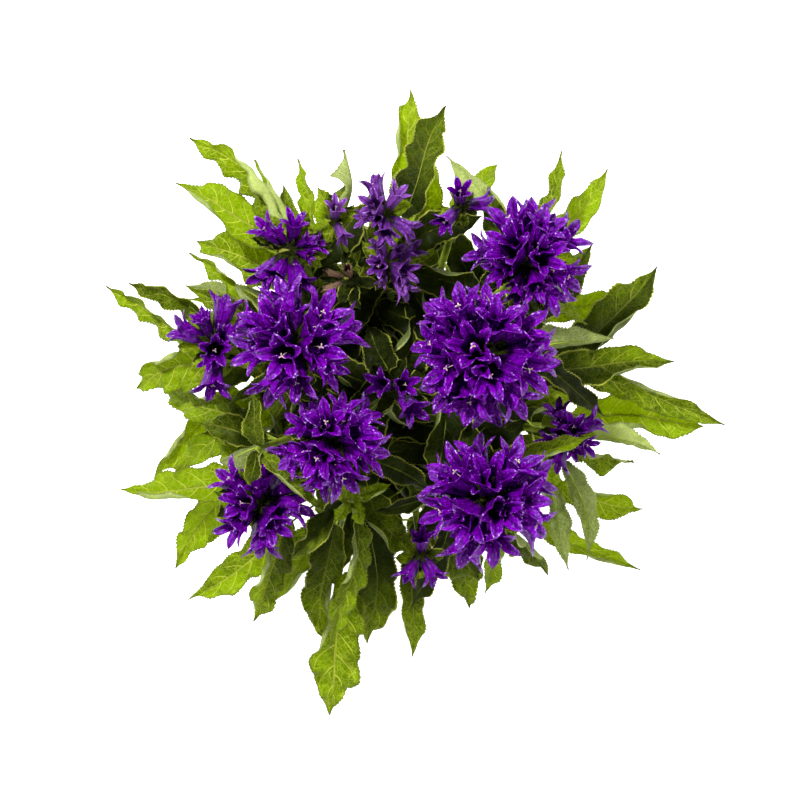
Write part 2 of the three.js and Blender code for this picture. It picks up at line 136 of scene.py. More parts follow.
HEADS: dict[str, Head] = {
    "north": Head((-9, 101, 270), 20, 6, 140, Bloom.LILAC),
    "north_side": Head((-7, 75, 244), 21, 7, 200, Bloom.LILAC),
    "north_small": Head((33, 107, 244), 14, 3, 90),
    "northeast": Head((69, 75, 280), 33, 12, 10),
    "east": Head((44, 25, 298), 39, 15, 150),
    "east_low": Head((93, -20, 226), 20, 6, 60),
    "southeast": Head((48, -54, 286), 35.5, 13, 310),
    "south_low": Head((12, -86, 216), 18, facings=((236, 74), (300, 66), (90, 40))),
    "southwest": Head((-38, -21, 284), 31, 11, 100),
    "southwest_low": Head((-78, -58, 238), 28, 8, 170),
    "west": Head((-56, 29, 292), 34, 11, 220),
    "west_low": Head((-101, 29, 258), 27, facings=(
        (153, 74), (76, 80), (290, 6), (268, 62), (35, 70))),
    "northwest": Head((-60, 82, 256), 26, facings=(
        (140, 62), (80, 50), (10, 68), (225, 70), (285, 58))),
    "centre": Head((-3, 7, 258), 23, facings=((167, 27), (14, 19), (309, 50))),
    "lilac": Head((-36, 98, 262), 17, bloom=Bloom.LILAC, facings=((80, 35), (300, 60))),
    "spent": Head((-27, 67, 242), 20, bloom=Bloom.SPENT, facings=(
        (165, 76), (205, 80), (30, 66), (330, 40), (110, 20))),
}

SHOOTS: dict[str, tuple[float, float, float]] = {
    "young": (-27, -56, 256),
    "small": (-79, -27, 268),
}

# The leaves of each stem, one a row: the fields of Leaf in their order.
STEMS: dict[str, tuple[tuple, ...]] = {
    "north": (
        (0.5, (6, 177, 178), 20, 18, -4, 5, 0.35),
        (0.65, (26, 166, 196), 22, 12, 1, 25, 0.25),
        (0.16, (-8, 108, 118), 18, 16, 0, 0, 0.4),
    ),
    "north_side": (
        (0.55, (40, 68, 184), 15, 10, 0, -10, 0.25),
    ),
    "north_small": (
        (0.3, (18, 144, 165), 18, 16, 5, 0, 0.3),
        (0.8, (55, 133, 194), 15, 6, 2, 20, 0.1),
    ),
    "northeast": (
        (0.4, (130, 62, 160), 15, 14, -6, 0, 0.35),
        (0.8, (104, 42, 222), 12, 6, 0, 40, 0.2),
        (0.85, (90, 138, 232), 12, 8, -3, 35, 0.15),
        (0.7, (117, 130, 204), 15, 10, -4, 10, 0.25),
        (0.78, (26, 137, 212), 12, 5, -9, 155, 0.2),
        (0.75, (49, 119, 222), 14, 8, 0, 10, 0.25),
        (0.6, (104, 106, 184), 13, 10, 0, 0, 0.3),
        (0.14, (84, 78, 112), 20, 16, 0, 0, 0.4),
    ),
    "east": (
        (0.45, (186, -14, 168), 14, 24, 8, -10, 0.45),
        (0.72, (155, 22, 192), 20, 12, -2, -15, 0.28),
        (0.9, (118, 34, 244), 12, 6, 0, 150, 0.25),
        (0.86, (114, -9, 212), 13, 14, 9, 20, 0.3),
        (0.62, (146, 76, 184), 23, 14, -20, 0, 0.38),
        (0.52, (110, 89, 166), 20, 14, -4, 0, 0.35),
    ),
    "east_low": (
        (0.65, (96, -97, 178), 10, 10, 0, 155, 0.4),
        (0.78, (106, -91, 188), 12, 8, 8, 160, 0.25),
        (0.82, (132, -35, 196), 19, 6, -3, -55, 0.2),
        (0.72, (148, -31, 184), 12, 8, 5, 150, 0.2),
        (0.5, (174, -15, 166), 22, 14, 4, 0, 0.3),
        (0.16, (114, -14, 112), 20, 18, 0, 0, 0.4),
    ),
    "southeast": (
        (0.7, (6, -119, 182), 15, 8, 0, 25, 0.25),
        (0.52, (40, -120, 150), 19, 12, -3, 0, 0.4),
        (0.78, (48, -109, 192), 11, 8, 9, 25, 0.3),
        (0.8, (84, -99, 190), 15, 8, 0, -32, 0.3),
        (0.42, (140, -99, 138), 11, 12, -5, 12, 0.4),
        (0.36, (140, -63, 150), 16, 16, -4, 5, 0.55),
        (0.92, (104, -20, 262), 11, 5, 5, 10, 0.2),
        (0.14, (78, -76, 110), 20, 16, 0, 0, 0.4),
        (0.86, (-14, -62, 226), 10, 6, 0, 30, 0.2),
    ),
    "south_low": (
        (0.6, (7, -149, 140), 13, 10, 0, 5, 0.2),
        (0.16, (14, -110, 110), 18, 16, 0, 0, 0.4),
    ),
    "southwest": (
        (0.84, (18, -51, 214), 14, 8, 0, 0, 0.2),
    ),
    "southwest_low": (
        (0.75, (-159, -51, 178), 20, 10, 0, -22, 0.15),
        (0.65, (-130, -97, 148), 19, 10, -12, 20, 0.15),
        (0.5, (-118, -86, 136), 8, 8, 0, 20, 0.2),
        (0.8, (-85, -128, 146), 17, 8, 7, 12, 0.2),
        (0.14, (-88, -64, 108), 20, 16, 0, 0, 0.4),
    ),
    "west": (
        (0.86, (-116, 81, 246), 15, 8, -3, 55, 0.1),
        (0.35, (-143, -45, 138), 18, 16, -15, 15, 0.45),
        (0.45, (-130, -43, 156), 20, 16, -7, -20, 0.35),
        (0.86, (-95, -3, 236), 9, 6, 0, 25, 0.2),
        (0.62, (-78, 1, 192), 13, 8, 0, 0, 0.2),
        (0.88, (-94, 63, 246), 10, 5, 0, 0, 0.2),
        (0.78, (-119, 64, 222), 12, 6, 0, 25, 0.2),
    ),
    "west_low": (
        (0.85, (-165, 64, 208), 14, 8, 3, 45, 0.1),
        (0.9, (-151, 65, 226), 13, 6, -7, 40, 0.1),
        (0.7, (-151, 7, 164), 25, 12, -5, 0, 0.15),
        (0.14, (-110, 34, 110), 20, 16, 0, 0, 0.4),
    ),
    "northwest": (
        (0.8, (-57, 135, 214), 13, 8, -4, 40, 0.1),
        (0.6, (-66, 122, 186), 12, 10, 3, 10, 0.3),
        (0.9, (-117, 146, 226), 18, 8, -10, 38, 0.1),
        (0.85, (-81, 134, 222), 12, 8, -3, 52, 0.1),
        (0.7, (-127, 123, 186), 21, 14, -6, -8, 0.2),
        (0.55, (-116, 91, 168), 20, 14, 0, 8, 0.25),
        (0.4, (-124, 66, 150), 13, 10, 0, 160, 0.35),
        (0.35, (-123, 59, 136), 12, 10, 0, 10, 0.35),
        (0.14, (-78, 86, 112), 20, 16, 0, 0, 0.4),
    ),
    "centre": (
        (0.6, (14, 50, 196), 22, 10, 0, 0, 0.15),
        (0.72, (-18, 42, 206), 18, 8, 0, 5, 0.2),
        (0.9, (-27, -14, 238), 10, 4, 0, 145, 0.05),
        (0.5, (25, -8, 202), 14, 8, -4, 20, 0.15),
    ),
    "lilac": (
        (0.95, (-31, 138, 246), 17, 6, -5, 62, 0.05),
        (0.45, (-47, 122, 172), 17, 14, 0, 0, 0.35),
    ),
    "spent": (
        (0.72, (-59, 62, 198), 19, 8, 0, 0, 0.1),
    ),
    "young": (
        (0.4, (-123, -116, 140), 20, 22, 3, 5, 0.42),
        (0.88, (-61, -89, 214), 14, 8, 0, -35, 0.1),
        (0.6, (-72, -115, 150), 19, 14, 0, -10, 0.35),
        (0.75, (-42, -140, 152), 18, 10, -11, 0, 0.25),
        (0.85, (-41, -142, 172), 14, 8, 6, 18, 0.15),
        (0.42, (-41, -184, 128), 25, 22, 0, 0, 0.42),
        (0.6, (-19, -141, 142), 23, 12, 5, 0, 0.25),
        (0.97, (-5, -46, 262), 8, 4, 0, 10, 0.1),
        (0.99, (-38, -44, 268), 8, 4, 0, 10, 0.1),
        (0.99, (-36, -66, 266), 8, 4, 0, -10, 0.1),
        (0.99, (-20, -68, 266), 8, 4, 0, 10, 0.1),
        (0.99, (-22, -48, 272), 7, 3, 0, 10, 0.1),
    ),
    "small": (
        (0.72, (-138, 8, 148), 17, 12, 0, -10, 0.25),
        (0.98, (-81, -46, 276), 9, 4, 0, 5, 0.05),
        (0.99, (-43, -60, 274), 8, 5, 0, 25, 0.05),
        (0.96, (-81, 5, 266), 11, 5, 0, 25, 0.05),
        (0.8, (-100, -35, 226), 12, 5, 0, 150, 0.1),
    ),
}


def scatter(k: float) -> float:
    """Return a repeatable number from -0.5 to 0.5 for any number."""
    noise = math.sin((k + 1) * 12.9898) * 43758.5453
    return noise - math.floor(noise) - 0.5


def unit(vectors: Points) -> Points:
    """Return the vectors, one a row, at length one."""
    return vectors / np.maximum(np.linalg.norm(vectors, axis=-1, keepdims=True), 1e-9)


def smooth(values: Points, low: float, high: float) -> Points:
    """Return a smooth step of the values from 0 at low to 1 at high."""
    share = np.clip((values - low) / (high - low), 0.0, 1.0)
    return share * share * (3 - 2 * share)


def direction_of(compass: float, tilt: float) -> Points:
    """Work out a direction.

    Args:
        compass: its compass angle, in degrees from +X.
        tilt: its angle from upright, in degrees.

    Returns:
        The unit vector.
    """
    around, down = math.radians(compass), math.radians(tilt)
    return np.array((math.sin(down) * math.cos(around),
                     math.sin(down) * math.sin(around), math.cos(down)))


def across_along(across: Points, along: Points) -> tuple[Points, Points]:
    """Return the plain pattern of a net: 0 to 1 across and along."""
    return across * 0.5 + 0.5, along


def open_ends(along: Points) -> Points:
    """Return 0 at both ends of a tube's net, which closes them, and 1 between."""
    return np.where((along < END) | (along > 1 - END), 0.0, 1.0)


def lobe_of(angle: Points) -> tuple[Points, Points]:
    """Return 0 to 1 across each lobe of a bell, and 0 in its middle to 1 at its notches."""
    lobe = (angle / (2 * math.pi) * LOBES + 0.5) % 1.0
    return lobe, np.abs(lobe - 0.5) * 2


def ring_places(centre: Points, side: Points, up: Points, radius: Points,
                angle: Points) -> Points:
    """Place points on rings.

    Args:
        centre: the rings' middles, one a row or one for all.
        side: the direction of angle 0.
        up: the direction a quarter turn on.
        radius: one for each point.
        angle: one for each point, in radians.

    Returns:
        The places, one a row.
    """
    return (centre + side * (radius * np.cos(angle))[:, None]
            + up * (radius * np.sin(angle))[:, None])


class Bench:
    """The modelling bench: plain nets from primitives, and the steps that many pieces share."""

    def __init__(self) -> None:
        """Start with no nets."""
        self.nets: dict[tuple[int, int], bpy.types.Mesh] = {}

    @staticmethod
    def clear() -> None:
        """Deselect everything."""
        bpy.ops.object.select_all(action="DESELECT")

    @staticmethod
    def only(piece: bpy.types.Object) -> None:
        """Select one object alone and make it active.

        Args:
            piece: the object.
        """
        Bench.clear()
        piece.select_set(True)
        bpy.context.view_layer.objects.active = piece

    def net(self, columns: int, rows: int) -> bpy.types.Mesh:
        """Return a flat square net, added once as a grid primitive and then copied.

        Args:
            columns: faces across.
            rows: faces along.

        Returns:
            A mesh of its own, from -1 to 1 each way.
        """
        key = (columns, rows)
        if key not in self.nets:
            self.clear()
            bpy.ops.mesh.primitive_grid_add(
                x_subdivisions=columns, y_subdivisions=rows, size=2, calc_uvs=True)
            blank = bpy.context.object
            mesh = blank.data
            mesh.use_fake_user = True
            bpy.data.objects.remove(blank)
            self.nets[key] = mesh
        return self.nets[key].copy()

    def shaped(self, name: str, columns: int, rows: int,
               shape: Callable[[Points, Points], Points],
               uv: Callable[[Points, Points], tuple[Points, Points]],
               marks: Optional[dict[str, object]] = None) -> bpy.types.Object:
        """Make an object from a net whose points a shape places.

        Args:
            name: the object's name.
            columns: faces across.
            rows: faces along.
            shape: gives places in millimetres for across (-1 to 1) and along (0 to 1).
            uv: gives the two pattern coordinates for across and along.
            marks: point attributes, each one value or a way to get values from places,
                across and along.

        Returns:
            The new object, linked to the scene.
        """
        mesh = self.net(columns, rows)
        mesh.name = name
        count = len(mesh.vertices)
        flat = np.empty(count * 3)
        mesh.vertices.foreach_get("co", flat)
        flat = flat.reshape(-1, 3)
        across, along = flat[:, 0], (flat[:, 1] + 1) / 2
        places = shape(across, along) * MM
        mesh.vertices.foreach_set("co", places.astype(np.float32).ravel())
        corners = np.empty(len(mesh.loops), dtype=np.int32)
        mesh.loops.foreach_get("vertex_index", corners)
        first, second = uv(across, along)
        pairs = np.stack((first[corners], second[corners]), axis=1)
        mesh.uv_layers[0].uv.foreach_set("vector", pairs.astype(np.float32).ravel())
        mesh.uv_layers[0].name = "Pattern"
        for mark, value in (marks or {}).items():
            layer = mesh.attributes.new(mark, "FLOAT", "POINT")
            values = (value(places / MM, across, along) if callable(value)
                      else np.full(count, value))
            layer.data.foreach_set("value", values.astype(np.float32))
        mesh.update()
        piece = bpy.data.objects.new(name, mesh)
        bpy.context.collection.objects.link(piece)
        return piece

    def joined(self, name: str, pieces: Sequence[bpy.types.Object]) -> bpy.types.Object:
        """Join objects into the first.

        Args:
            name: the joined object's name.
            pieces: the objects.

        Returns:
            The first object, which now holds them all.
        """
        self.only(pieces[0])
        for piece in pieces:
            piece.select_set(True)
        if len(pieces) > 1:
            bpy.ops.object.join()
        pieces[0].name = name
        pieces[0].data.name = name
        return pieces[0]

    def weld(self, piece: bpy.types.Object, distance: float = 1e-6) -> None:
        """Merge doubled points, which closes seams and poles.

        Args:
            piece: the object.
            distance: how close points are that become one, in metres.
        """
        self.only(piece)
        bpy.ops.object.mode_set(mode="EDIT")
        bpy.ops.mesh.select_all(action="SELECT")
        bpy.ops.mesh.remove_doubles(threshold=distance)
        bpy.ops.object.mode_set(mode="OBJECT")

    def thicken(self, piece: bpy.types.Object, thickness: float, under: int = 0) -> None:
        """Give a sheet its thickness below its outer face.

        Args:
            piece: the sheet.
            thickness: in millimetres.
            under: how many material slots further the lower face's material is.
        """
        self.only(piece)
        shell = piece.modifiers.new("thickness", "SOLIDIFY")
        shell.thickness = thickness * MM
        shell.offset = -1
        shell.use_rim = True
        shell.material_offset = under
        bpy.ops.object.modifier_apply(modifier=shell.name)

    def smoothed(self, piece: bpy.types.Object) -> None:
        """Shade an object smooth."""
        self.only(piece)
        bpy.ops.object.shade_smooth()


def dressed(piece: bpy.types.Object, slot: str, finishes: Sequence[bpy.types.Material],
            nodes: Sequence[str] = ()) -> None:
    """Give a finished piece its materials and its place in the model.

    Args:
        piece: the object.
        slot: its material slot in the record.
        finishes: its materials, or none to leave those it has.
        nodes: the CAD nodes that it stands for.
    """
    if finishes:
        piece.data.materials.clear()
        for material in finishes:
            piece.data.materials.append(material)
    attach(piece, BODY)
    if nodes:
        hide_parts(*nodes)
    LOG.info("%s: %d faces, slot %s", piece.name, len(piece.data.polygons), slot)


class Nodes:
    """A short hand for one node tree."""

    def __init__(self, tree: bpy.types.NodeTree) -> None:
        """Keep the tree."""
        self.tree = tree

    def add(self, kind: str, **values: object) -> bpy.types.Node:
        """Add a node, set its properties and inputs, and link what is a socket.

        Args:
            kind: the node's type name.
            values: a property by its name, or an input as in_NAME or in_INDEX.

        Returns:
            The new node.
        """
        node = self.tree.nodes.new(kind)
        for key, value in values.items():
            if not key.startswith("in_"):
                setattr(node, key, value)
        for key, value in values.items():
            if not key.startswith("in_"):
                continue
            label = key[3:]
            place = int(label) if label.isdigit() else label.replace("_", " ")
            socket = node.inputs[place]
            if isinstance(value, bpy.types.NodeSocket):
                self.tree.links.new(value, socket)
            else:
                socket.default_value = value
        return node

    def math(self, operation: str, first: object, second: object = 0.0,
             clamp: bool = False) -> bpy.types.NodeSocket:
        """Add a Math node for sockets or numbers, and return its output."""
        return self.add("ShaderNodeMath", operation=operation, use_clamp=clamp, in_0=first,
                        in_1=second).outputs[0]

    def mix(self, share: object, first: object, second: object) -> bpy.types.NodeSocket:
        """Add a colour Mix node for sockets or values, and return its output."""
        return self.add("ShaderNodeMix", data_type="RGBA", in_0=share, in_6=first,
                        in_7=second).outputs[2]

    def span(self, value: object, low: float, high: float,
             to_low: float = 0.0, to_high: float = 1.0) -> bpy.types.NodeSocket:
        """Add a clamped, smooth Map Range node.

        Args:
            value: a socket or a number.
            low: where the ramp starts.
            high: where it ends.
            to_low: the result up to low.
            to_high: the result from high on.

        Returns:
            The node's output.
        """
        node = self.add("ShaderNodeMapRange", clamp=True, interpolation_type="SMOOTHSTEP",
                        in_0=value, in_1=low, in_2=high, in_3=to_low, in_4=to_high)
        return node.outputs[0]

    def pattern(self) -> tuple[bpy.types.NodeSocket, bpy.types.NodeSocket]:
        """Return the pattern coordinates of a sheet, across and along."""
        pattern = self.add("ShaderNodeUVMap", uv_map="Pattern")
        return tuple(self.add("ShaderNodeSeparateXYZ", in_0=pattern.outputs[0]).outputs[:2])

    def blotches(self, mottle: bpy.types.NodeTree, scale: float,
                 detail: float = 4.0) -> bpy.types.NodeSocket:
        """Add the shared group of blotches at a scale and detail, and return its output."""
        return self.add("ShaderNodeGroup", node_tree=mottle, in_Scale=scale,
                        in_Detail=detail).outputs[0]

    def bump(self, strength: float, distance: float,
             *heights: tuple[bpy.types.NodeSocket, float]) -> bpy.types.NodeSocket:
        """Add heights up in a Bump node.

        Args:
            strength: the node's strength.
            distance: how high a height of 1 is, in metres.
            heights: a socket and its weight each.

        Returns:
            The bumped normal.
        """
        parts = [self.math("MULTIPLY", socket, weight) for socket, weight in heights]
        height = parts[0]
        for part in parts[1:]:
            height = self.math("ADD", height, part)
        return self.add("ShaderNodeBump", in_Strength=strength, in_Distance=distance,
                        in_Height=height).outputs[0]


def new_group(name: str, inputs: Sequence[tuple[str, str, object]],
              outputs: Sequence[tuple[str, str]]) -> tuple[bpy.types.NodeTree, Nodes]:
    """Make an empty shader node group with named sockets.

    Args:
        name: the group's name.
        inputs: name, socket type and start value of each input.
        outputs: name and socket type of each output.

    Returns:
        The group and the short hand for it.
    """
    group = bpy.data.node_groups.new(name, "ShaderNodeTree")
    for label, kind, value in inputs:
        socket = group.interface.new_socket(label, in_out="INPUT", socket_type=kind)
        socket.default_value = value
    for label, kind in outputs:
        group.interface.new_socket(label, in_out="OUTPUT", socket_type=kind)
    return group, Nodes(group)


def new_material(name: str) -> tuple[bpy.types.Material, Nodes]:
    """Make an empty material.

    Args:
        name: the material's name.

    Returns:
        The material and the short hand for its nodes.
    """
    material = bpy.data.materials.new(name)
    material.use_nodes = True
    material.node_tree.nodes.clear()
    return material, Nodes(material.node_tree)


def lit_through(nodes: Nodes, share: float, surface: bpy.types.Node, light: object) -> None:
    """End the material of a thin sheet that lets tinted light through.

    Args:
        nodes: the material's nodes.
        share: how much of the light goes through.
        surface: the node of the outer surface.
        light: the tint of the light that goes through, a socket or a colour.
    """
    through = nodes.add("ShaderNodeBsdfTranslucent", in_Color=light)
    both = nodes.add("ShaderNodeMixShader", in_0=share, in_1=surface.outputs[0],
                     in_2=through.outputs[0])
    nodes.add("ShaderNodeOutputMaterial", in_0=both.outputs[0])


def vein_group() -> bpy.types.NodeTree:
    """Make the group that draws a leaf's midrib, side veins and fine net.

    Returns:
        A group with Across, Along, Count and Grain in, and Rib, Veins, Net and Mesh out.
    """
    group, nodes = new_group(
        "LeafVeins",
        (("Across", "NodeSocketFloat", 0.5), ("Along", "NodeSocketFloat", 0.5),
         ("Count", "NodeSocketFloat", 9.0), ("Grain", "NodeSocketFloat", 900.0)),
        (("Rib", "NodeSocketFloat"), ("Veins", "NodeSocketFloat"), ("Net", "NodeSocketFloat"),
         ("Mesh", "NodeSocketFloat")))
    given = nodes.add("NodeGroupInput")
    result = nodes.add("NodeGroupOutput")
    across, along, count, grain = given.outputs[:4]
    side = nodes.math("SUBTRACT", across, 0.5)
    far = nodes.math("MULTIPLY", nodes.math("ABSOLUTE", side), 2.0)
    rib = nodes.span(far, 0.01, 0.06, 1.0, 0.0)
    slant = nodes.math("MULTIPLY", nodes.math("POWER", far, 1.5), 1.25)
    stagger = nodes.math("MULTIPLY", nodes.math("GREATER_THAN", side, 0.0), 0.45)
    run = nodes.math("ADD", nodes.math("SUBTRACT", nodes.math("MULTIPLY", along, count), slant),
                     stagger)
    line = nodes.math("PINGPONG", run, 0.5)
    fine = nodes.span(line, 0.012, 0.055, 1.0, 0.0)
    fade = nodes.span(far, 0.5, 0.95, 1.0, 0.12)
    veins = nodes.math("MULTIPLY", fine, fade)
    coordinates = nodes.add("ShaderNodeTexCoord")
    cells = nodes.add("ShaderNodeTexVoronoi", feature="DISTANCE_TO_EDGE",
                      in_Vector=coordinates.outputs["Object"], in_Scale=grain)
    net = nodes.span(cells.outputs["Distance"], 0.0, 0.16, 1.0, 0.0)
    wide_cells = nodes.add("ShaderNodeTexVoronoi", feature="DISTANCE_TO_EDGE",
                           in_Vector=coordinates.outputs["Object"],
                           in_Scale=nodes.math("MULTIPLY", grain, 0.26))
    mesh = nodes.span(wide_cells.outputs["Distance"], 0.0, 0.07, 1.0, 0.0)
    for index, socket in enumerate((rib, veins, net, mesh)):
        nodes.tree.links.new(socket, result.inputs[index])
    return group


def mottle_group() -> bpy.types.NodeTree:
    """Make the group of soft blotches that every plant surface shares.

    Returns:
        A group with Scale and Detail in, and Blotch out, from 0 to 1.
    """
    group, nodes = new_group(
        "Mottle",
        (("Scale", "NodeSocketFloat", 60.0), ("Detail", "NodeSocketFloat", 4.0)),
        (("Blotch", "NodeSocketFloat"),))
    given = nodes.add("NodeGroupInput")
    result = nodes.add("NodeGroupOutput")
    coordinates = nodes.add("ShaderNodeTexCoord")
    noise = nodes.add("ShaderNodeTexNoise", in_Vector=coordinates.outputs["Object"],
                      in_Scale=given.outputs[0], in_Detail=given.outputs[1])
    nodes.tree.links.new(nodes.span(noise.outputs[0], 0.28, 0.72), result.inputs[0])
    return group


Colour = tuple[float, float, float, float]


@dataclass(frozen=True)
class LeafMasks:
    """The sockets that a leaf's colours are mixed by, all of one material."""

    # How lit the blade is painted, from the painted shade in the tone.
    share: bpy.types.NodeSocket
    vein: bpy.types.NodeSocket
    lines: bpy.types.NodeSocket
    rib: bpy.types.NodeSocket
    net: bpy.types.NodeSocket
    # The margin: a painted rim highlight on dark leaves, and a darker margin on brighter ones.
    edge: bpy.types.NodeSocket
    margin_darkening: bpy.types.NodeSocket
    withered: bpy.types.NodeSocket


@dataclass(frozen=True)
class LeafFinish:
    """The finish of one face of the leaves."""

    name: str
    # deep is the painted shade colour of leaves inside the plant, and the colour after it their
    # lit colour; the tone mixes them.
    deep: Colour
    fresh: Colour
    vein: Colour
    glow: Colour
    tip: Colour
    see_through: float
    roughness: float
    relief: float
    vein_pairs: float = 7.0
    net_scale: float = 1000.0
    spot_scale: float = 85.0
    speck_scale: float = 900.0
    mesh_share: float = 0.45
    # How far the light through a leaf in painted shade is darkened towards the deep colour.
    shade: float = 0.86
    specular: float = 0.12
    bump_distance: float = 0.0012

    def share(self, nodes: Nodes, mottle: bpy.types.NodeTree, tone: bpy.types.NodeSocket,
              net: bpy.types.NodeSocket) -> bpy.types.NodeSocket:
        """Work out how lit the blade is painted: its tone, which carries the painted shade, with
        spots, specks and the net of veins.

        Args:
            nodes: the material's nodes.
            mottle: the shared group of blotches.
            tone: the leaf's own tone.
            net: the finest veins.

        Returns:
            From 0 for the dark painted shade colour to 1 for the lit colour.
        """
        spots = nodes.span(nodes.blotches(mottle, self.spot_scale), 0.0, 1.0, -0.1, 0.1)
        specks = nodes.span(nodes.blotches(mottle, self.speck_scale), 0.0, 1.0, -0.24, 0.2)
        grain = nodes.math("ADD", spots, specks)
        grain = nodes.math("ADD", grain, nodes.span(net, 0.0, 1.0, -0.16, 0.34))
        loud = nodes.span(tone, 0.0, 0.6, 0.2, 1.0)
        return nodes.math("ADD", tone, nodes.math("MULTIPLY", grain, loud), clamp=True)

    def masks(self, nodes: Nodes, veins: bpy.types.NodeTree,
              mottle: bpy.types.NodeTree) -> LeafMasks:
        """Draw the leaf's pattern: veins, margin and tip.

        Args:
            nodes: the material's nodes.
            veins: the shared group that draws veins.
            mottle: the shared group of blotches.

        Returns:
            The sockets.
        """
        across, along = nodes.pattern()
        drawn = nodes.add("ShaderNodeGroup", node_tree=veins, in_Across=across, in_Along=along,
                          in_Count=self.vein_pairs, in_Grain=self.net_scale)
        tone = nodes.add("ShaderNodeAttribute", attribute_name="tone").outputs["Fac"]
        net = drawn.outputs["Net"]
        mesh = nodes.math("MULTIPLY", drawn.outputs["Mesh"], self.mesh_share)
        far = nodes.math("ABSOLUTE", nodes.math("SUBTRACT", across, 0.5))
        return LeafMasks(
            share=self.share(nodes, mottle, tone, net),
            # Painted shade: veins darken towards the deep colour on shaded leaves.
            vein=nodes.mix(nodes.span(tone, 0.0, 0.7, 0.1, 1.0), self.deep, self.vein),
            lines=nodes.math("MAXIMUM", drawn.outputs["Veins"], mesh),
            rib=drawn.outputs["Rib"],
            net=net,
            # Painted rim highlight: a pale margin, strongest on dark leaves.
            edge=nodes.math("MULTIPLY", nodes.span(far, 0.455, 0.475),
                            nodes.span(tone, 0.15, 0.7, 1.0, 0.6)),
            # Brighter leaves get a margin darkened towards the deep colour instead.
            margin_darkening=nodes.span(tone, 0.3, 0.65, 0.0, 0.8),
            withered=nodes.span(along, 0.955, 1.0, 0.0, 0.6))

    def veined(self, nodes: Nodes, masks: LeafMasks, blade: bpy.types.NodeSocket,
               rib: float, edge: float, rim: float) -> bpy.types.NodeSocket:
        """Draw veins, rib and margin over the blade's colour; the margin is a painted rim
        highlight on dark leaves.

        Args:
            nodes: the material's nodes.
            masks: the leaf's pattern.
            blade: the colour between the veins.
            rib: how strong the rib is.
            edge: how strong the margin is.
            rim: how bright the painted rim highlight on the margin of a dark leaf is.

        Returns:
            The colour.
        """
        colour = nodes.mix(nodes.math("MULTIPLY", masks.lines, 0.8), blade, masks.vein)
        colour = nodes.mix(nodes.math("MULTIPLY", masks.rib, rib), colour, masks.vein)
        # Painted rim highlight on dark leaves; brighter leaves get a darker margin.
        margin = nodes.mix(masks.margin_darkening, nodes.mix(rim, masks.vein, self.vein), self.deep)
        return nodes.mix(nodes.math("MULTIPLY", masks.edge, edge), colour, margin)

    def build(self, veins: bpy.types.NodeTree, mottle: bpy.types.NodeTree) -> bpy.types.Material:
        """Build the material.

        Args:
            veins: the shared group that draws veins.
            mottle: the shared group of blotches.

        Returns:
            The material.
        """
        material, nodes = new_material(self.name)
        masks = self.masks(nodes, veins, mottle)
        # Painted shade: the blade runs from the deep colour to the lit one by the tone.
        blade = nodes.mix(masks.share, self.deep, self.fresh)
        colour = self.veined(nodes, masks, blade, 0.85, 0.85, 0.6)
        surface = nodes.add(
            "ShaderNodeBsdfPrincipled",
            in_Base_Color=nodes.mix(masks.withered, colour, self.tip),
            in_Roughness=self.roughness,
            in_Normal=nodes.bump(self.relief, self.bump_distance, (masks.lines, -0.6),
                                 (masks.net, -0.25), (masks.rib, -0.8)),
            in_Specular_IOR_Level=self.specular)
        # Painted shade on the light that comes through the leaf too.
        shaded = nodes.mix(self.shade, self.glow, self.deep)
        light = nodes.mix(masks.share, shaded, self.glow)
        lit_through(nodes, self.see_through, surface,
                    self.veined(nodes, masks, light, 0.9, 0.8, 0.5))
        return material


@dataclass(frozen=True)
class PetalMasks:
    """The sockets that a petal's colours are mixed by, all of one material."""

    along: bpy.types.NodeSocket
    folded: bpy.types.NodeSocket
    # The folds' lines and the lobes' crease, where painted shade darkens the petal; they also
    # feed the bump.
    lines: bpy.types.NodeSocket
    crease: bpy.types.NodeSocket
    spots: bpy.types.NodeSocket
    wrinkles: bpy.types.NodeSocket


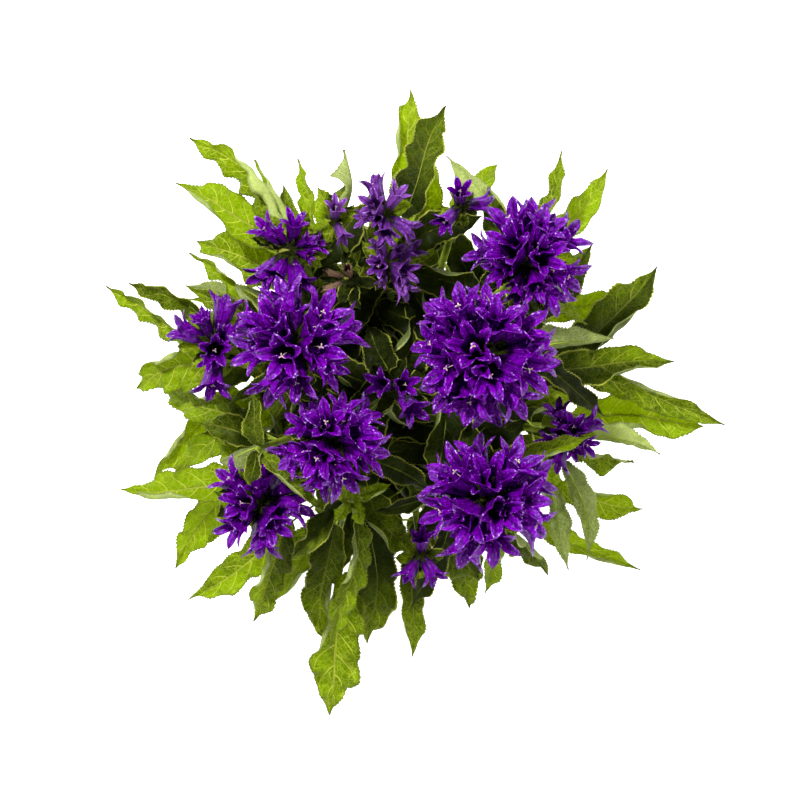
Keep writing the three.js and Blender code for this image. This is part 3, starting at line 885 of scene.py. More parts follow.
@dataclass(frozen=True)
class PetalFinish:
    """The finish of the bells, from their throats to their lobe tips."""

    name: str
    # Painted shade colour for the base of each bell, its folds and its crease.
    petal_shade: Colour
    lobe: Colour
    pale: Colour
    glow: Colour
    gloss: Colour
    glint: Colour
    see_through: float
    roughness: float
    sheen: float
    folds: float = 7.0
    spot_scale: float = 240.0
    wrinkle_scale: float = 520.0
    specular: float = 0.6
    sheen_roughness: float = 0.35
    relief: float = 0.9
    bump_distance: float = 0.0008
    facing_blend: float = 0.45

    def masks(self, nodes: Nodes, mottle: bpy.types.NodeTree) -> PetalMasks:
        """Draw the petal's pattern: folds, the crease of each lobe, spots and wrinkles.

        Args:
            nodes: the material's nodes.
            mottle: the shared group of blotches.

        Returns:
            The sockets.
        """
        across, along = nodes.pattern()
        folded = nodes.math("PINGPONG", nodes.math("MULTIPLY", across, self.folds), 0.5)
        far = nodes.math("ABSOLUTE", nodes.math("SUBTRACT", across, 0.5))
        return PetalMasks(
            along=along,
            folded=folded,
            lines=nodes.span(folded, 0.03, 0.2, 1.0, 0.0),
            crease=nodes.span(far, 0.01, 0.07, 1.0, 0.0),
            spots=nodes.blotches(mottle, self.spot_scale),
            wrinkles=nodes.blotches(mottle, self.wrinkle_scale, 2.0))

    def flesh_and_shade(self, nodes: Nodes, masks: PetalMasks) -> bpy.types.NodeSocket:
        """Work out the petal's colour: its own colour with painted shade deep in the bell and
        along its folds and crease.

        Args:
            nodes: the material's nodes.
            masks: the petal's pattern.

        Returns:
            The colour.
        """
        fade = nodes.add("ShaderNodeAttribute", attribute_name="fade")
        lobe = nodes.mix(nodes.span(masks.spots, 0.3, 1.0, 0.0, 0.3), self.lobe, self.pale)
        lobe = nodes.mix(fade.outputs["Fac"], lobe, self.pale)
        # Painted shade: dark at the base of the bell, paler out on the lobes.
        colour = nodes.mix(nodes.span(masks.along, 0.12, 0.62), self.petal_shade, lobe)
        # Painted shade along the folds and in the crease of each lobe.
        colour = nodes.mix(nodes.math("MULTIPLY", masks.lines, 0.38), colour, self.petal_shade)
        colour = nodes.mix(nodes.math("MULTIPLY", masks.crease, 0.7), colour, self.petal_shade)
        # Painted sheen: slightly paler towards the lobe tips.
        tip = nodes.span(masks.along, 0.9, 1.0)
        return nodes.mix(nodes.math("MULTIPLY", tip, 0.15), colour, self.pale)

    def glints(self, nodes: Nodes, masks: PetalMasks) -> bpy.types.NodeSocket:
        """Work out where rims and ridges catch the light.

        Args:
            nodes: the material's nodes.
            masks: the petal's pattern.

        Returns:
            From 0 for none to 1 for full.
        """
        rim = nodes.math("MULTIPLY", nodes.span(masks.along, 0.9, 0.96),
                         nodes.span(masks.wrinkles, 0.82, 0.98))
        ridge = nodes.math("MULTIPLY", nodes.span(masks.folded, 0.38, 0.48),
                           nodes.span(masks.wrinkles, 0.93, 1.0))
        ridge = nodes.math("MULTIPLY", ridge, nodes.span(masks.along, 0.5, 0.8, 0.0, 0.7))
        return nodes.math("MAXIMUM", rim, ridge)

    def build(self, mottle: bpy.types.NodeTree) -> bpy.types.Material:
        """Build the material.

        Args:
            mottle: the shared group of blotches.

        Returns:
            The material.
        """
        material, nodes = new_material(self.name)
        masks = self.masks(nodes, mottle)
        glint = nodes.math("MULTIPLY", self.glints(nodes, masks), 0.8)
        colour = nodes.mix(glint, self.flesh_and_shade(nodes, masks), self.glint)
        slope = nodes.add("ShaderNodeLayerWeight", in_Blend=self.facing_blend)
        surface = nodes.add(
            "ShaderNodeBsdfPrincipled", in_Base_Color=colour, in_Roughness=self.roughness,
            in_Normal=nodes.bump(self.relief, self.bump_distance, (masks.lines, -0.5),
                                 (masks.crease, -0.8), (masks.spots, 0.8),
                                 (masks.wrinkles, 0.7)),
            in_Specular_IOR_Level=self.specular,
            in_Specular_Tint=nodes.mix(slope.outputs["Facing"], self.gloss, self.pale),
            in_Sheen_Weight=self.sheen, in_Sheen_Roughness=self.sheen_roughness,
            in_Sheen_Tint=self.pale)
        lit_through(nodes, self.see_through, surface, nodes.mix(0.5, self.glow, colour))
        return material


@dataclass(frozen=True)
class PlainFinish:
    """A finish of one substance: two colours in blotches, with a grain in relief."""

    name: str
    first: Colour
    second: Colour
    scale: float
    grain: float
    roughness: float
    relief: float
    specular: float = 0.4
    roughness_range: float = 0.08
    bump_distance: float = 0.0008

    def build(self, mottle: bpy.types.NodeTree) -> bpy.types.Material:
        """Build the material.

        Args:
            mottle: the shared group of blotches.

        Returns:
            The material.
        """
        material, nodes = new_material(self.name)
        blotch = nodes.blotches(mottle, self.scale, 6.0)
        grain = nodes.blotches(mottle, self.grain, 3.0)
        rough = nodes.span(grain, 0.0, 1.0, self.roughness - self.roughness_range,
                           self.roughness + self.roughness_range)
        surface = nodes.add(
            "ShaderNodeBsdfPrincipled",
            in_Base_Color=nodes.mix(blotch, self.first, self.second), in_Roughness=rough,
            in_Normal=nodes.bump(self.relief, self.bump_distance, (grain, 1.0)),
            in_Specular_IOR_Level=self.specular)
        nodes.add("ShaderNodeOutputMaterial", in_0=surface.outputs[0])
        return material


class Finishes:
    """Every material of the plant and its pot, built once."""

    def __init__(self) -> None:
        """Build the shared groups and the materials."""
        veins, mottle = vein_group(), mottle_group()
        self.leaf_top = LeafFinish(
            "leaf upper face", deep=(0.003, 0.008, 0.001, 1), fresh=(0.165, 0.25, 0.001, 1),
            vein=(0.9, 0.92, 0.14, 1), glow=(0.67, 0.84, 0.002, 1), tip=(0.06, 0.025, 0.02, 1),
            see_through=0.52, roughness=0.42, relief=1.0).build(veins, mottle)
        self.leaf_under = LeafFinish(
            "leaf lower face", deep=(0.13, 0.17, 0.045, 1), fresh=(0.47, 0.55, 0.17, 1),
            vein=(0.66, 0.74, 0.28, 1), glow=(0.66, 0.8, 0.03, 1), tip=(0.1, 0.05, 0.04, 1),
            see_through=0.36, roughness=0.65, relief=1.0).build(veins, mottle)
        self.stem = PlainFinish(
            "stem skin", first=(0.12, 0.17, 0.01, 1), second=(0.27, 0.34, 0.03, 1),
            scale=90, grain=900, roughness=0.55, relief=0.3, specular=0.15).build(mottle)
        violet = PetalFinish(
            "violet petal", petal_shade=(0.005, 0.0, 0.018, 1), lobe=(0.098, 0.0, 0.245, 1),
            pale=(0.32, 0.001, 0.6, 1), glow=(0.29, 0.0, 0.57, 1), gloss=(0.9, 0.72, 1.0, 1),
            glint=(0.6, 0.34, 0.9, 1), see_through=0.2, roughness=0.13,
            sheen=0.0).build(mottle)
        lilac = PetalFinish(
            "fading petal", petal_shade=(0.02, 0.003, 0.05, 1), lobe=(0.1, 0.004, 0.22, 1),
            pale=(0.3, 0.09, 0.46, 1), glow=(0.28, 0.04, 0.5, 1), gloss=(0.9, 0.75, 1.0, 1),
            glint=(0.55, 0.35, 0.75, 1), see_through=0.22, roughness=0.28,
            sheen=0.05).build(mottle)
        spent = PetalFinish(
            "withered petal", petal_shade=(0.04, 0.022, 0.014, 1), lobe=(0.16, 0.085, 0.045, 1),
            pale=(0.3, 0.2, 0.13, 1), glow=(0.3, 0.15, 0.06, 1), gloss=(1.0, 0.9, 0.8, 1),
            glint=(0.42, 0.3, 0.22, 1), see_through=0.12, roughness=0.8,
            sheen=0.0).build(mottle)
        self.petals = {Bloom.VIOLET: violet, Bloom.LILAC: lilac, Bloom.SPENT: spent}
        self.style = PlainFinish(
            "cream style", first=(0.28, 0.17, 0.18, 1), second=(0.52, 0.38, 0.36, 1),
            scale=600, grain=2500, roughness=0.5, relief=0.2).build(mottle)
        self.pot = PlainFinish(
            "moulded pot plastic", first=(0.075, 0.034, 0.021, 1), second=(0.1, 0.05, 0.032, 1),
            scale=18, grain=2400, roughness=0.46, relief=0.12).build(mottle)
        self.peat = PlainFinish(
            "peat", first=(0.012, 0.007, 0.004, 1), second=(0.07, 0.04, 0.022, 1),
            scale=260, grain=900, roughness=0.93, relief=1.0, specular=0.2).build(mottle)


def floret_length(head: Head) -> float:
    """Return the length of a head's bells out of its core."""
    return min(max(head.reach * FLORET_SHARE, SHORTEST_FLORET), LONGEST_FLORET)


def core_radius(head: Head) -> float:
    """Return the radius of a head's core."""
    return max(head.reach - floret_length(head), SMALLEST_CORE)


@dataclass
class StemLine:
    """The middle line of a stem: out of the soil at a lean, then up to its top."""

    name: str

    def ends(self) -> tuple[Points, Points, Points]:
        """Work out the line's three guiding points.

        Returns:
            The foot, the bend and the top.
        """
        head = HEADS.get(self.name)
        top = np.array(head.centre if head else SHOOTS[self.name], dtype=float)
        if head:
            top[2] -= core_radius(head) * CORE_DEPTH + FIT_GAP
        foot = np.array((top[0] * FOOT_SPREAD, top[1] * FOOT_SPREAD, SOIL_LEVEL))
        share = np.array((LEAN, LEAN, LEAN_HEIGHT))
        return foot, foot + (top - foot) * share, top

    def at(self, share: Points) -> Points:
        """Work out places on the line.

        Args:
            share: how far up each place is, from 0 to 1.

        Returns:
            The places, one a row.
        """
        foot, bend, top = self.ends()
        t = np.atleast_1d(np.asarray(share, dtype=float))[:, None]
        return (1 - t) ** 2 * foot + 2 * t * (1 - t) * bend + t ** 2 * top


@dataclass(frozen=True)
class Shade:
    """Painted shade: how lit leaves are painted by their distance from the middle, in
    millimetres.
    """

    heart: float = 0.02
    gain: float = 0.79
    heart_edge: float = 58.0
    outer_edge: float = 150.0
    variety: float = 1.15
    calm_edge: float = 30.0
    varied_edge: float = 105.0
    brightest: float = 0.94

    def tone(self, places: Points, seed: float) -> Points:
        """Work out a leaf's painted shade: painted lighter out at the plant's edge than inside.

        Args:
            places: the points, in millimetres.
            seed: the leaf's own number.

        Returns:
            From 0 for deep painted shade to 1 for fully lit.
        """
        out = np.hypot(places[:, 0], places[:, 1])
        # Painted shade: dark in the middle of the plant, lighter towards its edge, varied at
        # random away from the middle.
        fresh = self.heart + self.gain * smooth(out, self.heart_edge, self.outer_edge)
        varied = self.variety * scatter(seed) * smooth(out, self.calm_edge, self.varied_edge)
        return np.clip(fresh + varied, 0.0, self.brightest)


@dataclass
class Blade:
    """One leaf blade with its stalk and midrib, at its place on the plant.

    Lengths are in millimetres. Waves are shares of the leaf's width.
    """

    leaf: Leaf
    root: Points
    seed: float
    fresh: float = 0.0
    shade: Shade = Shade()
    row_length: float = 0.8
    columns: int = 10
    fewest_rows: int = 12
    most_rows: int = 100
    snake: float = 0.022
    arch_wobble: float = 0.8
    tip_variety: float = 0.2
    tip_ease: float = 0.08
    tip_point: float = 0.42
    flat_fullness: float = 1.04
    curled_fullness: float = 1.14
    least_half: float = 0.08
    tooth: float = 0.34
    tooth_middle: float = 0.15
    lobe_length: float = 15.0
    lobing: float = 0.08
    slow_lobing: float = 0.09
    ripple_length: float = 16.0
    ripple: float = 0.12
    fine_ripple: float = 0.03
    edge_lift: float = 0.55
    vein_pairs: int = 7
    vein_slant: float = 1.25
    vein_stagger: float = 0.45
    pucker: float = 0.8
    groove: float = 0.35
    margin_turn: float = 3.0
    margin_run: float = 0.25
    margin_steps: int = 10
    flat_share: float = 0.17
    # Painted side light: how much lighter one half of a leaf is painted than the other.
    painted_side_light: float = 0.54
    rib_run: float = 0.9
    rib_taper: float = 0.75
    rib_radius: float = 0.45
    rib_share: float = 0.045
    rib_columns: int = 6
    fewest_rib_rows: int = 6

    def place(self, s: Points) -> Points:
        """Work out points of the rib's line.

        Args:
            s: shares of its way, from the root at 0 to the tip at 1.

        Returns:
            The places, one a row.
        """
        s = s[:, None]
        end = np.array(self.leaf.tip, dtype=float)
        flat = unit(np.array((self.root[1] - end[1], end[0] - self.root[0], 0.0)))
        hump = 4 * s * (1 - s)
        wander = np.sin(2 * math.pi * s + 6 * scatter(self.seed + 0.6)) * self.snake
        lift = UP * ((self.leaf.arch + self.arch_wobble * np.sin(9 * s + self.seed)) * hump)
        return (self.root + (end - self.root) * s + lift
                + flat * (self.leaf.sweep + wander * self.length()) * hump)

    def axes(self, s: Points) -> tuple[Points, Points, Points]:
        """Work out the blade's directions, rolled as the leaf is.

        Args:
            s: shares of the rib's way.

        Returns:
            The way along, the way to the side and the way above, one a row each.
        """
        along = unit(self.place(np.minimum(s + 0.02, 1.0)) - self.place(s - 0.02))
        side = unit(np.cross(along, UP))
        above = np.cross(side, along)
        turn = math.radians(self.leaf.roll)
        rolled = side * math.cos(turn) + above * math.sin(turn)
        return along, rolled, above * math.cos(turn) - side * math.sin(turn)

    def length(self) -> float:
        """Return the straight length from root to tip."""
        return float(np.linalg.norm(np.array(self.leaf.tip) - self.root))

    def blade_length(self) -> float:
        """Return the straight length of the blade without its stalk."""
        return self.length() * (1 - self.leaf.stalk)

    def rows(self) -> int:
        """Return how many rows of faces the blade has."""
        return int(min(max(self.blade_length() / self.row_length, self.fewest_rows),
                       self.most_rows))

    def curled(self) -> bool:
        """Return whether one of the leaf's margins rolls over."""
        return abs(scatter(self.seed + 0.31)) > self.flat_share

    def half_width(self, u: Points) -> Points:
        """Work out half the blade's width, broad and then short-pointed.

        Args:
            u: shares of the blade's way.

        Returns:
            The half widths.
        """
        inside = np.clip(u, 0.0, 1.0)
        point = BLADE_TIP_CURVE + self.tip_variety * scatter(self.seed + 0.8) - self.tip_ease
        point = point + self.tip_point * smooth(inside, 0.7, 1.0)
        full = BLADE_FULLNESS * (self.curled_fullness if self.curled() else self.flat_fullness)
        return self.leaf.width / 2 * full * inside ** BLADE_BASE_CURVE * (1 - inside) ** point

    def toothed(self, across: Points, u: Points) -> Points:
        """Work out half the width with the slow lobes and the fine teeth of the margin.

        Args:
            across: from -1 at the left margin to 1 at the right one.
            u: shares of the blade's way.

        Returns:
            The half widths.
        """
        half = self.half_width(u) + self.least_half
        phase = 2 * math.pi * (scatter(self.seed) + 0.5)
        sign = np.sign(across)
        bays = 2 * math.pi * self.blade_length() / self.lobe_length
        lobes = self.lobing * np.sin(bays * u + phase + 1.9 * sign)
        lobes += self.slow_lobing * np.sin(bays * 0.45 * u - phase + 0.8 * sign)
        tooth = np.where(np.round(u * self.rows()) % 2 == 0, self.tooth, -self.tooth)
        tooth = tooth * (1 + 0.5 * np.sin(37 * u + self.seed)) + self.tooth_middle
        return half * (1 + lobes) + np.abs(across) ** 6 * tooth * smooth(half, 0.4, 3.0)

    def waves(self, across: Points, u: Points) -> Points:
        """Work out how the blade waves up and down, more towards its margins.

        Args:
            across: from -1 at the left margin to 1 at the right one.
            u: shares of the blade's way.

        Returns:
            The lifts.
        """
        steps = min(3 + int(self.length() // STATION_SPACING), MOST_STATIONS)
        station = 1 + (u - BLADE_START) / BLADE_RUN * (steps - 1)
        sign = np.sign(across)
        phase = 2 * math.pi * (scatter(self.seed) + 0.5)
        pace = 2 * math.pi * max(2.5, self.blade_length() / self.ripple_length)
        slow = WAVE * np.sin(station * WAVE_PACE + sign * WAVE_SHIFT)
        quick = self.ripple * np.sin(pace * u + phase + sign * 1.1)
        quick += self.fine_ripple * np.sin(2.35 * pace * u + 2 * phase - sign * 2.0)
        return across ** 2 * self.leaf.width * (slow + quick * smooth(1 - u, 0.0, 0.15))

    def margin(self, across: Points, u: Points) -> tuple[Points, Points]:
        """Work out how the margin of some leaves rolls over and shows its lower face.

        Args:
            across: from -1 at the left margin to 1 at the right one.
            u: shares of the blade's way.

        Returns:
            How far out and how far up each point is, as shares of half the width.
        """
        far = np.abs(across)
        rolled_side = np.sign(across) == np.sign(scatter(self.seed + 0.31))
        middle = 0.5 + 0.5 * scatter(self.seed + 0.77)
        angle = self.margin_turn * np.exp(-((u - middle) / self.margin_run) ** 2)
        angle = angle * rolled_side * self.curled()
        out, up = np.zeros_like(far), np.zeros_like(far)
        for k in range(self.margin_steps):
            turn = angle * smooth(far * (k + 0.5) / self.margin_steps, 0.3, 0.95)
            out += np.cos(turn) * far / self.margin_steps
            up += np.sin(turn) * far / self.margin_steps
        return out, up

    def blade_places(self, across: Points, along: Points) -> Points:
        """Place the blade's net.

        Args:
            across: from -1 at the left margin to 1 at the right one.
            along: from 0 at the stalk to 1 at the tip.

        Returns:
            The places, one a row.
        """
        s = self.leaf.stalk + (1 - self.leaf.stalk) * along
        _, side, above = self.axes(s)
        half = self.toothed(across, along)
        body = smooth(along, 0.0, 0.12)
        far, sign = np.abs(across), np.sign(across)
        curl = smooth(abs(self.leaf.roll), 15, 60) * (sign == np.sign(self.leaf.roll))
        out, up = self.margin(across, along)
        lift = half * ((GUTTER + self.edge_lift * curl * far) * far ** 1.4 + up)
        veins = (self.vein_pairs * along - self.vein_slant * far ** 1.5
                 + self.vein_stagger * (across > 0))
        domes = self.pucker * np.abs(np.sin(math.pi * veins)) * 4 * far * (1 - far)
        groove = -self.groove * np.exp(-(across / 0.08) ** 2)
        lift = lift + (self.waves(across, along) + domes + groove) * body
        return self.place(s) + side * (sign * out * half)[:, None] + above * lift[:, None]

    def rib_places(self, across: Points, along: Points) -> Points:
        """Place the net of the stalk and the midrib under the blade.

        Args:
            across: once round the rib, from -1 to 1.
            along: from 0 at the root to 1 near the tip.

        Returns:
            The places, one a row.
        """
        stalk = self.leaf.stalk
        s = along * (stalk + (1 - stalk) * self.rib_run)
        _, side, above = self.axes(s)
        thin = 1 - smooth(s, 0.0, 1.0) * self.rib_taper
        closed = smooth(along, -0.001, 0.002) * smooth(1 - along, -0.001, 0.02)
        wide = (self.rib_radius + self.rib_share * self.leaf.width / 2) * thin * closed
        angle = across * math.pi
        drop = (0.9 * wide + 0.25) * smooth(s, stalk * 0.6, stalk + 0.06)
        return (self.place(s) + side * (wide * np.sin(angle))[:, None]
                - above * (drop + wide * np.cos(angle) * 0.9)[:, None])

    def tone(self, places: Points, across: Points, along: Points) -> Points:
        """Work out the leaf's tone: its painted shade, with one half painted lighter than the
        other as if lit from the side.

        Args:
            places: the points, in millimetres.
            across: from -1 at the left margin to 1 at the right one.
            along: from 0 to 1, not used.

        Returns:
            From 0 for deep painted shade to 1 for fully lit.
        """
        base = self.shade.tone(places, self.seed)
        # Painted side light: one half of the leaf lighter and the other darker.
        lean = self.painted_side_light * scatter(self.seed + 0.45) * np.clip(across * 6, -1, 1)
        return np.clip(base + self.fresh + lean * (0.25 + 0.75 * base), 0.0, 1.0)

    def build(self, bench: Bench, name: str) -> tuple[bpy.types.Object, bpy.types.Object]:
        """Build the leaf.

        Args:
            bench: the modelling bench.
            name: the start of the objects' names.

        Returns:
            The blade's sheet and its rib.
        """
        rows = self.rows()
        marks = {"tone": self.tone}
        sheet = bench.shaped(name, self.columns, rows, self.blade_places, across_along, marks)
        rib = bench.shaped(name + "_rib", self.rib_columns, max(rows // 4, self.fewest_rib_rows),
                           self.rib_places, across_along, marks)
        return sheet, rib


@dataclass(frozen=True)
class InnerLeaves:
    """The small leaves deep in the plant, round a whole stem. Lengths are in millimetres."""

    count: int = 9
    lowest: float = 0.12
    climb: float = 0.62
    edge: float = 113.0
    length: float = 42.0
    length_range: float = 30.0
    width: float = 18.0
    width_range: float = 7.0
    lift_range: float = 14.0
    droop: float = 2.0
    arch: float = 7.0
    sweep_range: float = 8.0
    roll_range: float = 40.0
    stalk: float = 0.16
    row_length: float = 2.4
    columns: int = 6

    def leaf(self, line: StemLine, seed: int, index: int) -> Leaf:
        """Work out one leaf.

        Args:
            line: the stem's middle line.
            seed: the stem's number.
            index: the leaf's number, from the lowest up.

        Returns:
            The leaf, with its tip no further out than the edge.
        """
        at = self.lowest + self.climb * (index + 0.5) / self.count
        length = self.length + self.length_range * (scatter(seed * 7 + index) + 0.5)
        compass = GOLDEN_ANGLE * (index + 3.3 * seed)
        tip = line.at(at)[0] + direction_of(compass, 90) * length
        tip[:2] *= min(1.0, self.edge / math.hypot(tip[0], tip[1]))
        tip[2] += self.lift_range * scatter(seed + 5 * index) - self.droop
        width = self.width + self.width_range * scatter(seed * 3 + index)
        return Leaf(at, tuple(tip), width, self.arch, self.sweep_range * scatter(index + seed),
                    self.roll_range * scatter(2 * index), self.stalk)


@dataclass
class LeafyStem:
    """A stem with all its leaves, in one piece. Lengths are in millimetres."""

    name: str
    rows: tuple[tuple, ...]
    seed: int
    inner: InnerLeaves = InnerLeaves()
    sides: int = 10
    steps: int = 26
    usual_height: float = 190.0
    ridge: float = 0.07
    thickness: float = 0.32
    skin_tone: float = 0.3
    fresh_from: float = 0.3
    fresh_bonus: float = 0.3
    rosette_stem: str = "young"
    rosette_from: float = 0.95
    rosette_bonus: float = 0.75

    def stem_places(self, across: Points, along: Points) -> Points:
        """Place the net of the stem's skin, ridged, tapered and closed at both ends.

        Args:
            across: once round the stem, from -1 to 1.
            along: from 0 in the soil to 1 at the top.

        Returns:
            The places, one a row.
        """
        under = STEM_DEPTH / self.usual_height
        t = along * (1 + under) - under
        middle = StemLine(self.name).at(np.maximum(t, 0.0))
        middle[:, 2] += np.minimum(t, 0.0) * self.usual_height
        radius = STEM_FOOT_RADIUS + (STEM_TOP_RADIUS - STEM_FOOT_RADIUS) * np.maximum(t, 0.0)
        radius = radius * (1 + self.ridge * np.cos(across * math.pi * LOBES)) * open_ends(along)
        return ring_places(middle, EAST, NORTH, radius, across * math.pi)

    def blade(self, leaf: Leaf, index: int) -> Blade:
        """Work out one leaf's blade.

        Args:
            leaf: the leaf.
            index: its number on this stem, the inner leaves last.

        Returns:
            The blade, coarser and never fresh for an inner leaf.
        """
        seed = self.seed * 17 + index
        blade = Blade(leaf, StemLine(self.name).at(leaf.at)[0], seed)
        if index >= len(self.rows):
            blade.row_length, blade.columns = self.inner.row_length, self.inner.columns
        elif self.name == self.rosette_stem and leaf.at > self.rosette_from:
            blade.fresh = self.rosette_bonus
        elif scatter(seed + 0.13) > self.fresh_from:
            blade.fresh = self.fresh_bonus
        return blade

    def build(self, bench: Bench, finishes: Finishes) -> None:
        """Build the blades, ribs and skin and join them.

        Args:
            bench: the modelling bench.
            finishes: the materials.
        """
        line = StemLine(self.name)
        leaves = [Leaf(*row) for row in self.rows]
        leaves += [self.inner.leaf(line, self.seed, k) for k in range(self.inner.count)]
        built = [self.blade(leaf, k).build(bench, f"blade_{self.name}_{k}")
                 for k, leaf in enumerate(leaves)]
        sheets, wood = [pair[0] for pair in built], [pair[1] for pair in built]
        wood.append(bench.shaped(f"skin_{self.name}", self.sides, self.steps, self.stem_places,
                                 across_along, {"tone": self.skin_tone}))
        blades = bench.joined(f"blades_{self.name}", sheets)
        bench.weld(blades)
        blades.data.materials.append(finishes.leaf_top)
        blades.data.materials.append(finishes.leaf_under)
        bench.thicken(blades, self.thickness, 1)
        woody = bench.joined(f"wood_{self.name}", wood)
        bench.weld(woody)
        woody.data.materials.append(finishes.stem)
        piece = bench.joined(f"leafy_stem_{self.name}", [blades, woody])
        bench.smoothed(piece)
        dressed(piece, "leaf", (), [f"stem_{self.name}"])


@dataclass
class Bell:
    """One floret: a funnel that opens in five pointed lobes.

    Base and mouth are millimetres along its axis, from the centre of its head. The other
    lengths are shares of its size.
    """

    centre: Points
    direction: Points
    base: float
    mouth: float
    size: float
    spin: float
    opening: float
    fade: float
    seed: float
    closed: bool = False
    columns: int = 30
    rows: int = 11
    notch: float = 0.5
    notch_radius: float = 0.315
    closed_radius: float = 0.23
    tube_drop: float = 0.31
    run: float = 0.47
    fullness: float = 0.46
    crease: float = 0.075
    fold: float = 0.009
    folds: int = 7
    lobe_swing: float = 0.2
    crumple: float = 0.016
    closed_crumple: float = 0.045
    ruffle: float = 0.018
    tube_root: float = 0.4
    tube_swell: float = 0.65
    first_bend: float = 18.0
    last_bend: float = 62.0
    closed_first_bend: float = 4.0
    closed_last_bend: float = -14.0
    closed_twist: float = 0.8
    lobe_bend: float = 1.2
    pinch: float = 0.22

    def frame(self) -> tuple[Points, Points]:
        """Work out two directions square to the axis.

        Returns:
            The two unit vectors.
        """
        away = UP if abs(self.direction[2]) < 0.9 else EAST
        side = unit(np.cross(self.direction, away))
        return side, np.cross(self.direction, side)

    def lobe_reach(self, theta: Points) -> Points:
        """Work out how far the petals reach, which cuts the lobes.

        Args:
            theta: from 0 in a lobe's middle to 1 at the notch beside it.

        Returns:
            Shares of the whole way, from the notch's share to 1.
        """
        full = self.fullness
        tip = ((full - 1) + np.sqrt((full - 1) ** 2 + 4 * full * (1 - theta))) / (2 * full)
        return self.notch + (1 - self.notch) * tip

    def places(self, across: Points, along: Points) -> Points:
        """Place the petals' net.

        Args:
            across: once round the bell, from -1 to 1.
            along: from 0 at the base to 1 at the lobes' edge.

        Returns:
            The places, one a row.
        """
        angle = (across + 1) * math.pi
        lobe, theta = lobe_of(angle)
        t = along * self.lobe_reach(theta)
        tube = np.clip(t / self.notch, 0, 1)
        out = np.clip((t - self.notch) / (1 - self.notch), 0, 1)
        notch_radius = self.size * (self.closed_radius if self.closed else self.notch_radius)
        swell = self.tube_root + (1 - self.tube_root) * tube ** self.tube_swell
        radius = notch_radius * swell * smooth(t, -0.001, 0.02)
        height = (self.mouth - self.base - self.size * self.tube_drop) * tube
        start = math.radians(self.closed_first_bend if self.closed else self.first_bend)
        finish = math.radians(self.closed_last_bend if self.closed
                              else self.last_bend + self.opening)
        middle = start + (finish - start) * out ** self.lobe_bend / 2
        radius = radius + self.size * self.run * out * np.sin(middle)
        height = height + self.size * self.run * out * np.cos(middle)
        radius = radius * (1 - self.pinch * theta ** 2 * tube * (1 - out))
        crumple = self.closed_crumple if self.closed else self.crumple
        radius = radius + self.size * crumple * np.sin(9 * angle + 14 * t + self.seed) * t
        height = height + self.size * self.relief(lobe, theta, angle, t, out)
        twist = self.closed_twist * t if self.closed else 0.0
        turned = angle + math.radians(self.spin) + twist
        side, up = self.frame()
        foot = self.centre + self.direction * self.base + self.direction * height[:, None]
        return ring_places(foot, side, up, radius, turned)

    def relief(self, lobe: Points, theta: Points, angle: Points, t: Points,
               out: Points) -> Points:
        """Work out the creases, folds and ruffles of the petals.

        Args:
            lobe: from 0 to 1 across each lobe.
            theta: from 0 in a lobe's middle to 1 at the notch beside it.
            angle: round the bell, in radians.
            t: shares of the whole way out.
            out: shares of the way from the notches to the tips.

        Returns:
            Heights along the axis, as shares of the bell's size.
        """
        bent = self.lobe_noise(angle) * self.lobe_swing * out
        crease = (theta - 0.45) * self.crease * np.minimum(1.6 * t, 1.0) * (1 - out ** 3)
        fold = np.sin(self.folds * math.pi * lobe + self.seed) * self.fold
        ruffle = self.ruffle * np.sin(13 * angle - 17 * t + 2 * self.seed) * out
        return bent + crease + fold * np.minimum(2 * t, 1.0) + ruffle

    def lobe_noise(self, angle: Points) -> Points:
        """Work out how far each lobe bends up or down.

        Args:
            angle: round the bell, in radians.

        Returns:
            From -0.5 to 0.5, the same for all of a lobe.
        """
        number = np.floor(angle / (2 * math.pi) * LOBES + 0.5).astype(int) % LOBES
        bends = np.array([scatter(self.seed + 3 * k) for k in range(LOBES)])
        return bends[number]

    def pattern(self, across: Points, along: Points) -> tuple[Points, Points]:
        """Return the pattern coordinates: 0 to 1 across each lobe, and along it."""
        return ((across + 1) / 2 * LOBES + 0.5) % 1.0, along

    def build(self, bench: Bench, name: str) -> bpy.types.Object:
        """Build the petals as one sheet."""
        return bench.shaped(name, self.columns, self.rows, self.places, self.pattern,
                            {"fade": self.fade})


@dataclass
class Calyx:
    """The green cup with five narrow teeth that holds a bell. Lengths are in millimetres."""

    bell: Bell
    columns: int = 20
    rows: int = 5
    drop: float = 1.0
    cup_share: float = 0.38
    tooth_point: float = 1.2
    root_radius: float = 0.4
    spread: float = 0.3
    snug: float = 0.2
    flare: float = 0.9
    length_share: float = 0.55
    # Painted shade: a low tone keeps the cups dark so the gaps between the bells read as shade.
    tone: float = 0.14

    def places(self, across: Points, along: Points) -> Points:
        """Place the cup's net.

        Args:
            across: once round, from -1 to 1.
            along: from 0 at its base to 1 at its teeth.

        Returns:
            The places, one a row.
        """
        bell = self.bell
        side, up = bell.frame()
        angle = (across + 1) * math.pi
        _, theta = lobe_of(angle)
        t = along * (self.cup_share + (1 - self.cup_share) * (1 - theta) ** self.tooth_point)
        cup = self.root_radius + bell.size * self.spread * np.minimum(t * 1.5, 1.0) ** 0.7
        radius = np.minimum(cup * smooth(t, -0.001, 0.02), bell.size * self.snug + self.flare * t)
        base = bell.centre + bell.direction * (bell.base - self.drop)
        middle = base + bell.direction * (t * bell.size * self.length_share)[:, None]
        return ring_places(middle, side, up, radius, angle)

    def build(self, bench: Bench, name: str) -> bpy.types.Object:
        """Build the cup's sheet."""
        return bench.shaped(name, self.columns, self.rows, self.places, across_along,
                            {"tone": self.tone})


